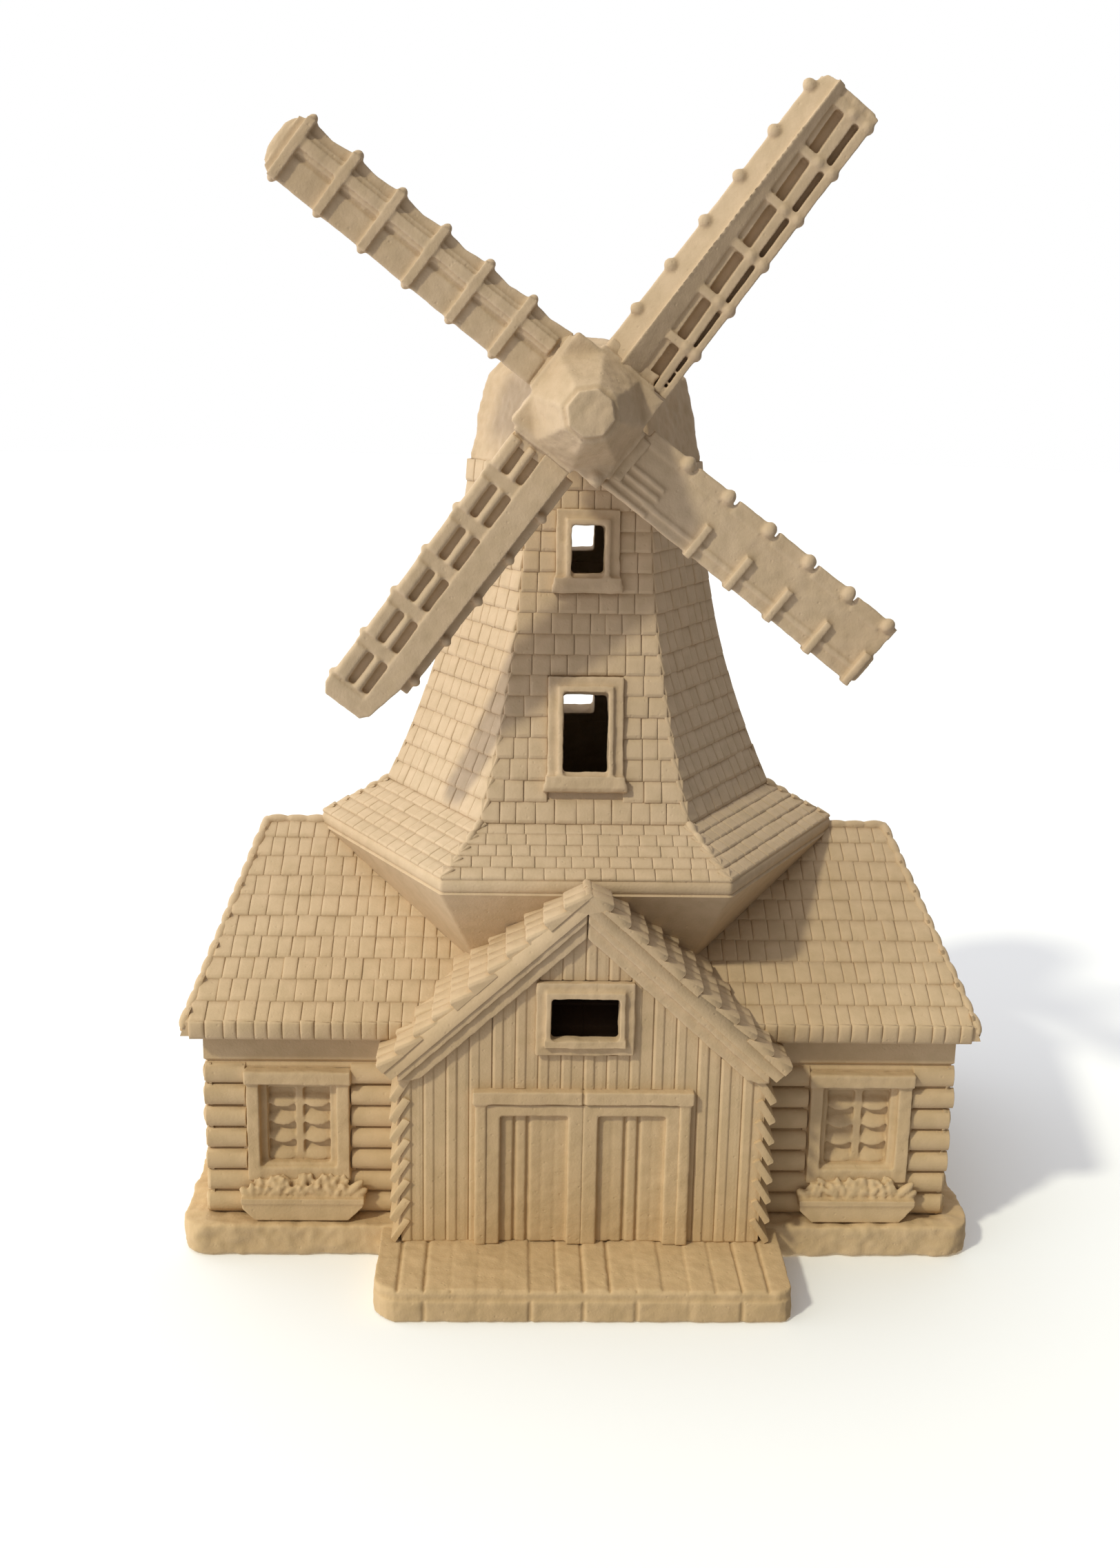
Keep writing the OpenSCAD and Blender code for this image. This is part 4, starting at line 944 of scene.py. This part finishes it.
# Upper left: a full sheet with bars across it that end in knobs, a rib in steps along its trailing
# half, a low swelling beside the rib and a round tip.
here, bm = on_sail(1), bmesh.new()
for a, b in zip([sail_root] + bar_u, bar_u + [106]):
    mid = (a + b) / 2
    taper(bm, a, (-13.7, 4.6), mid, (-12.8, 4.2), 4.2, here)
    taper(bm, mid, (-12.8, 4.2), b, (-13.7, 4.6) if b < 105 else (-12.4, 3.4), 4.2, here)
lump(bm, here @ Matrix.Translation((105.6, -2.1, -4.4)) @ Matrix.Diagonal((2.9, 2.1, 7.8, 1)))
for a, b in zip([16.0] + bar_u[:-1], bar_u):
    for narrow, high in ((0, 5.1), (1.3, 6.0)):
        taper(bm, a + 1.6, (-10.4 + narrow, -4.6 - narrow), b - 1, (-10.4 + narrow, -4.6 - narrow), high, here)
    taper(bm, a + 1.4, (-3.4, 4.5), b - 1.4, (-3.4, 4.5), 4.9, here)
for u in bar_u:
    bar(bm, (u - 1.4, -6.4, -14.0), (u + 1.4, 0, 4.6), here)
    knob(bm, u, -13.7, 3.8, 1.6, here)
    knob(bm, u, 4.4, 4.2, 1.4, here)
cast_whole("upper_left_sheet_sail", bm, "rotor", "upper_left_sail", voxel=0.42, softening=3, swell=0.2)

# Lower left: broad board on the leading side, and two rows of shallow slots between raised laths that
# stop at each bar. A low strip with knobs stands behind the board.
here, bm = on_sail(2), bmesh.new()
taper(bm, sail_root, (-12.4, 6.2), 106, (-11.2, 3.8), 2.6, here)
taper(bm, 17.5, (6.2, 9.3), 94, (6.2, 9.0), 1.2, here)
taper(bm, sail_root, (-1.9, 6.5), 93.5, (-0.2, 6.5), 5.1, here)
taper(bm, 93.4, (-0.2, 6.5), 105, (0.1, 4.2), 5.1, here)
for a, b in zip([sail_root] + bar_u[:-1], bar_u):
    a, b = a + 2.0, b - 2.0
    a_in, b_in = 2 * outward(a), 2 * outward(b)
    for narrow, high in ((0, 4.7), (0.5, 5.4)):
        taper(bm, a, (-6.7 + a_in + narrow, -4.1 + a_in - narrow),
              b, (-6.7 + b_in + narrow, -4.1 + b_in - narrow), high, here)
        taper(bm, a, (-12.6 + a_in / 2 + narrow, -8.9 + a_in - narrow),
              b, (-12.6 + b_in / 2 + narrow, -8.9 + b_in - narrow), high, here)
for u in bar_u:
    shift = 2 * outward(u)
    bar(bm, (u - 2.2, -4.6, -12.8 + shift / 2), (u + 2.2, 0, -1 + shift), here)
    knob(bm, u - 1.4, -12.2 + shift / 2, 3.0, 1.6, here)
    if u < 95:
        knob(bm, u + 1.5, 8.4, 1.7, 1.6, here)
taper(bm, 102, (-11.5, 4.8), 105.2, (-11.3, 4.2), 5.0, here)
taper(bm, 105, (-11.3, 4.2), 107.2, (-9.8, 2.2), 4.8, here)
cast_whole("lower_left_slotted_sail", bm, "rotor", "lower_left_sail", voxel=0.42, softening=3, swell=0.15)

# Lower right: smooth sheet, knobs along the leading edge with a notch after each, slim trailing bars,
# a faint rib across them and faint laths at the root.
here, bm = on_sail(3), bmesh.new()
taper(bm, sail_root, (-13.6, 5.2), 105.2, (-13.4, 5.4), 3.3, here)
for a, b in zip([18.0] + [u + 4.6 for u in bar_u], [u - 0.2 for u in bar_u] + [106]):
    taper(bm, a, (3.0, 7.3), b, (3.0, 7.3 if b < 105 else 5.6), 3.6, here)
for u in bar_u:
    knob(bm, u + 1.5, 6.0, 3.2, 2.2, here)
for u in bar_u[1:]:
    bar(bm, (u + 1.2, -5.0, -14.4), (u + 3.6, 0, -3.4), here)
taper(bm, 28, (-10.6, -9.4), 104, (-9.8, -8.6), 3.8, here)
for v in (-12.4, -9.6, -6.8, -4.0):
    bar(bm, (sail_root, -4.0, v - 0.6), (30.5, 0, v + 0.6), here)
for root, tip, end in (((-13.4, -2.0), (-12.0, -3.4), 107.4), ((-3.0, 5.6), (-2.4, 4.2), 106.8)):
    taper(bm, 104.5, root, end, tip, 3.4, here)
cast_whole("lower_right_knobbed_sail", bm, "rotor", "lower_right_sail", voxel=0.42, softening=3, swell=0.25)

# Table and light. A plain pale tabletop with a dark sheet of painted shade under the hollow house, one
# small warm lamp from the upper left and a broad cool fill, as in a small studio. The camera stands
# where the photograph was taken from.
for shape in (log, board, lap, shingle, butt, verge_shingle):
    bpy.data.objects.remove(shape)


def studio_sheet(name, bm, colour, roughness):
    sheet = modelled(name, bm)
    cover = bpy.data.materials.new(name)
    cover.use_nodes = True
    feed(cover.node_tree.nodes["Principled BSDF"], {"Base Color": (*colour, 1), "Roughness": roughness})
    sheet.data.materials.append(cover)
    return sheet


pale_paper, pad_shade_colour, table_r, table_z, pad_z = (0.97, 1.0, 1.0), (0.02, 0.018, 0.016), 4, -0.0003, -0.1
bm = bmesh.new()
bmesh.ops.create_circle(bm, cap_ends=True, segments=96, radius=table_r)
tabletop = studio_sheet("tabletop", bm, pale_paper, 0.95)
tabletop.location.z = table_z
tabletop.visible_diffuse = False

# Painted shade: a dark sheet under the hollow house stands in for the shade inside it and keeps ambient light from
# rising into it.
bm = bmesh.new()
for x, y in ((-110, -64), (-50, -64), (-50, -81), (50, -81), (50, -64), (110, -64), (110, 64), (-110, 64)):
    bm.verts.new(house() @ Vector((x, y, pad_z)) * mm)
bm.faces.new(bm.verts)
pad = studio_sheet("felt_pad", bm, pad_shade_colour, 1.0)

lamp_power, lamp_spread, lamp_tint, lamp_way = 1.7, 5, (1.0, 0.96, 0.78), (0.56, 0.50, -0.66)
light = bpy.data.lights.new("studio_lamp", "SUN")
light.energy, light.angle, light.color = lamp_power, math.radians(lamp_spread), lamp_tint
lamp = bpy.data.objects.new("studio_lamp", light)
lamp.rotation_euler = Vector(lamp_way).to_track_quat("-Z", "Y").to_euler()
scene_root.objects.link(lamp)

fill_power, fill_way, fill_dark, fill_pale = 1.8, (-0.784, 0.594, -0.178), (0.044, 0.039, 0.033), (0.978, 0.967, 1.0)
studio = bpy.data.worlds.new("studio")
bpy.context.scene.world = studio
studio.use_nodes = True
tree = studio.node_tree
ambient = tree.nodes["Background"]
sky = wired(tree, "ShaderNodeTexCoord")["Generated"]
toward = wired(tree, "ShaderNodeVectorMath", {0: sky, 1: fill_way}, operation="DOT_PRODUCT")["Value"]
fill = wired(tree, "ShaderNodeMapRange", {"Value": toward, "From Min": -1, "From Max": 1})[0]
feed(ambient, {"Color": ramp(tree, fill, [(0, fill_dark), (1, fill_pale)]), "Strength": fill_power})
backdrop = wired(tree, "ShaderNodeBackground", {"Color": (1, 1, 1, 1), "Strength": 1.0})[0]
seen = wired(tree, "ShaderNodeLightPath")["Is Camera Ray"]
lit = wired(tree, "ShaderNodeMixShader", {0: seen, 1: ambient.outputs[0], 2: backdrop})[0]
feed(tree.nodes["World Output"], {"Surface": lit})
bpy.context.scene.view_settings.view_transform = "Standard"

yaw, pitch, roll, focal_px, photo_h = 0.0311, 0.2513, 0.0192, 2433.84, 2274
ahead = Vector((math.sin(yaw) * math.cos(pitch), math.cos(yaw) * math.cos(pitch), -math.sin(pitch)))
level = Vector((math.cos(yaw), -math.sin(yaw), 0))
top = level.cross(ahead)
right = math.cos(roll) * level + math.sin(roll) * top
up = -math.sin(roll) * level + math.cos(roll) * top
eye = bpy.data.cameras.new("photo_eye")
eye.sensor_fit, eye.sensor_width, eye.lens = "AUTO", 36, 36 * focal_px / photo_h
camera = bpy.data.objects.new("photo_eye", eye)
scene_root.objects.link(camera)
stand = Matrix((right, up, -ahead)).transposed().to_4x4()
stand.translation = Vector((-22.52, tower_y - 532.63, 265.05)) * mm
camera.matrix_world = stand
bpy.context.scene.camera = camera
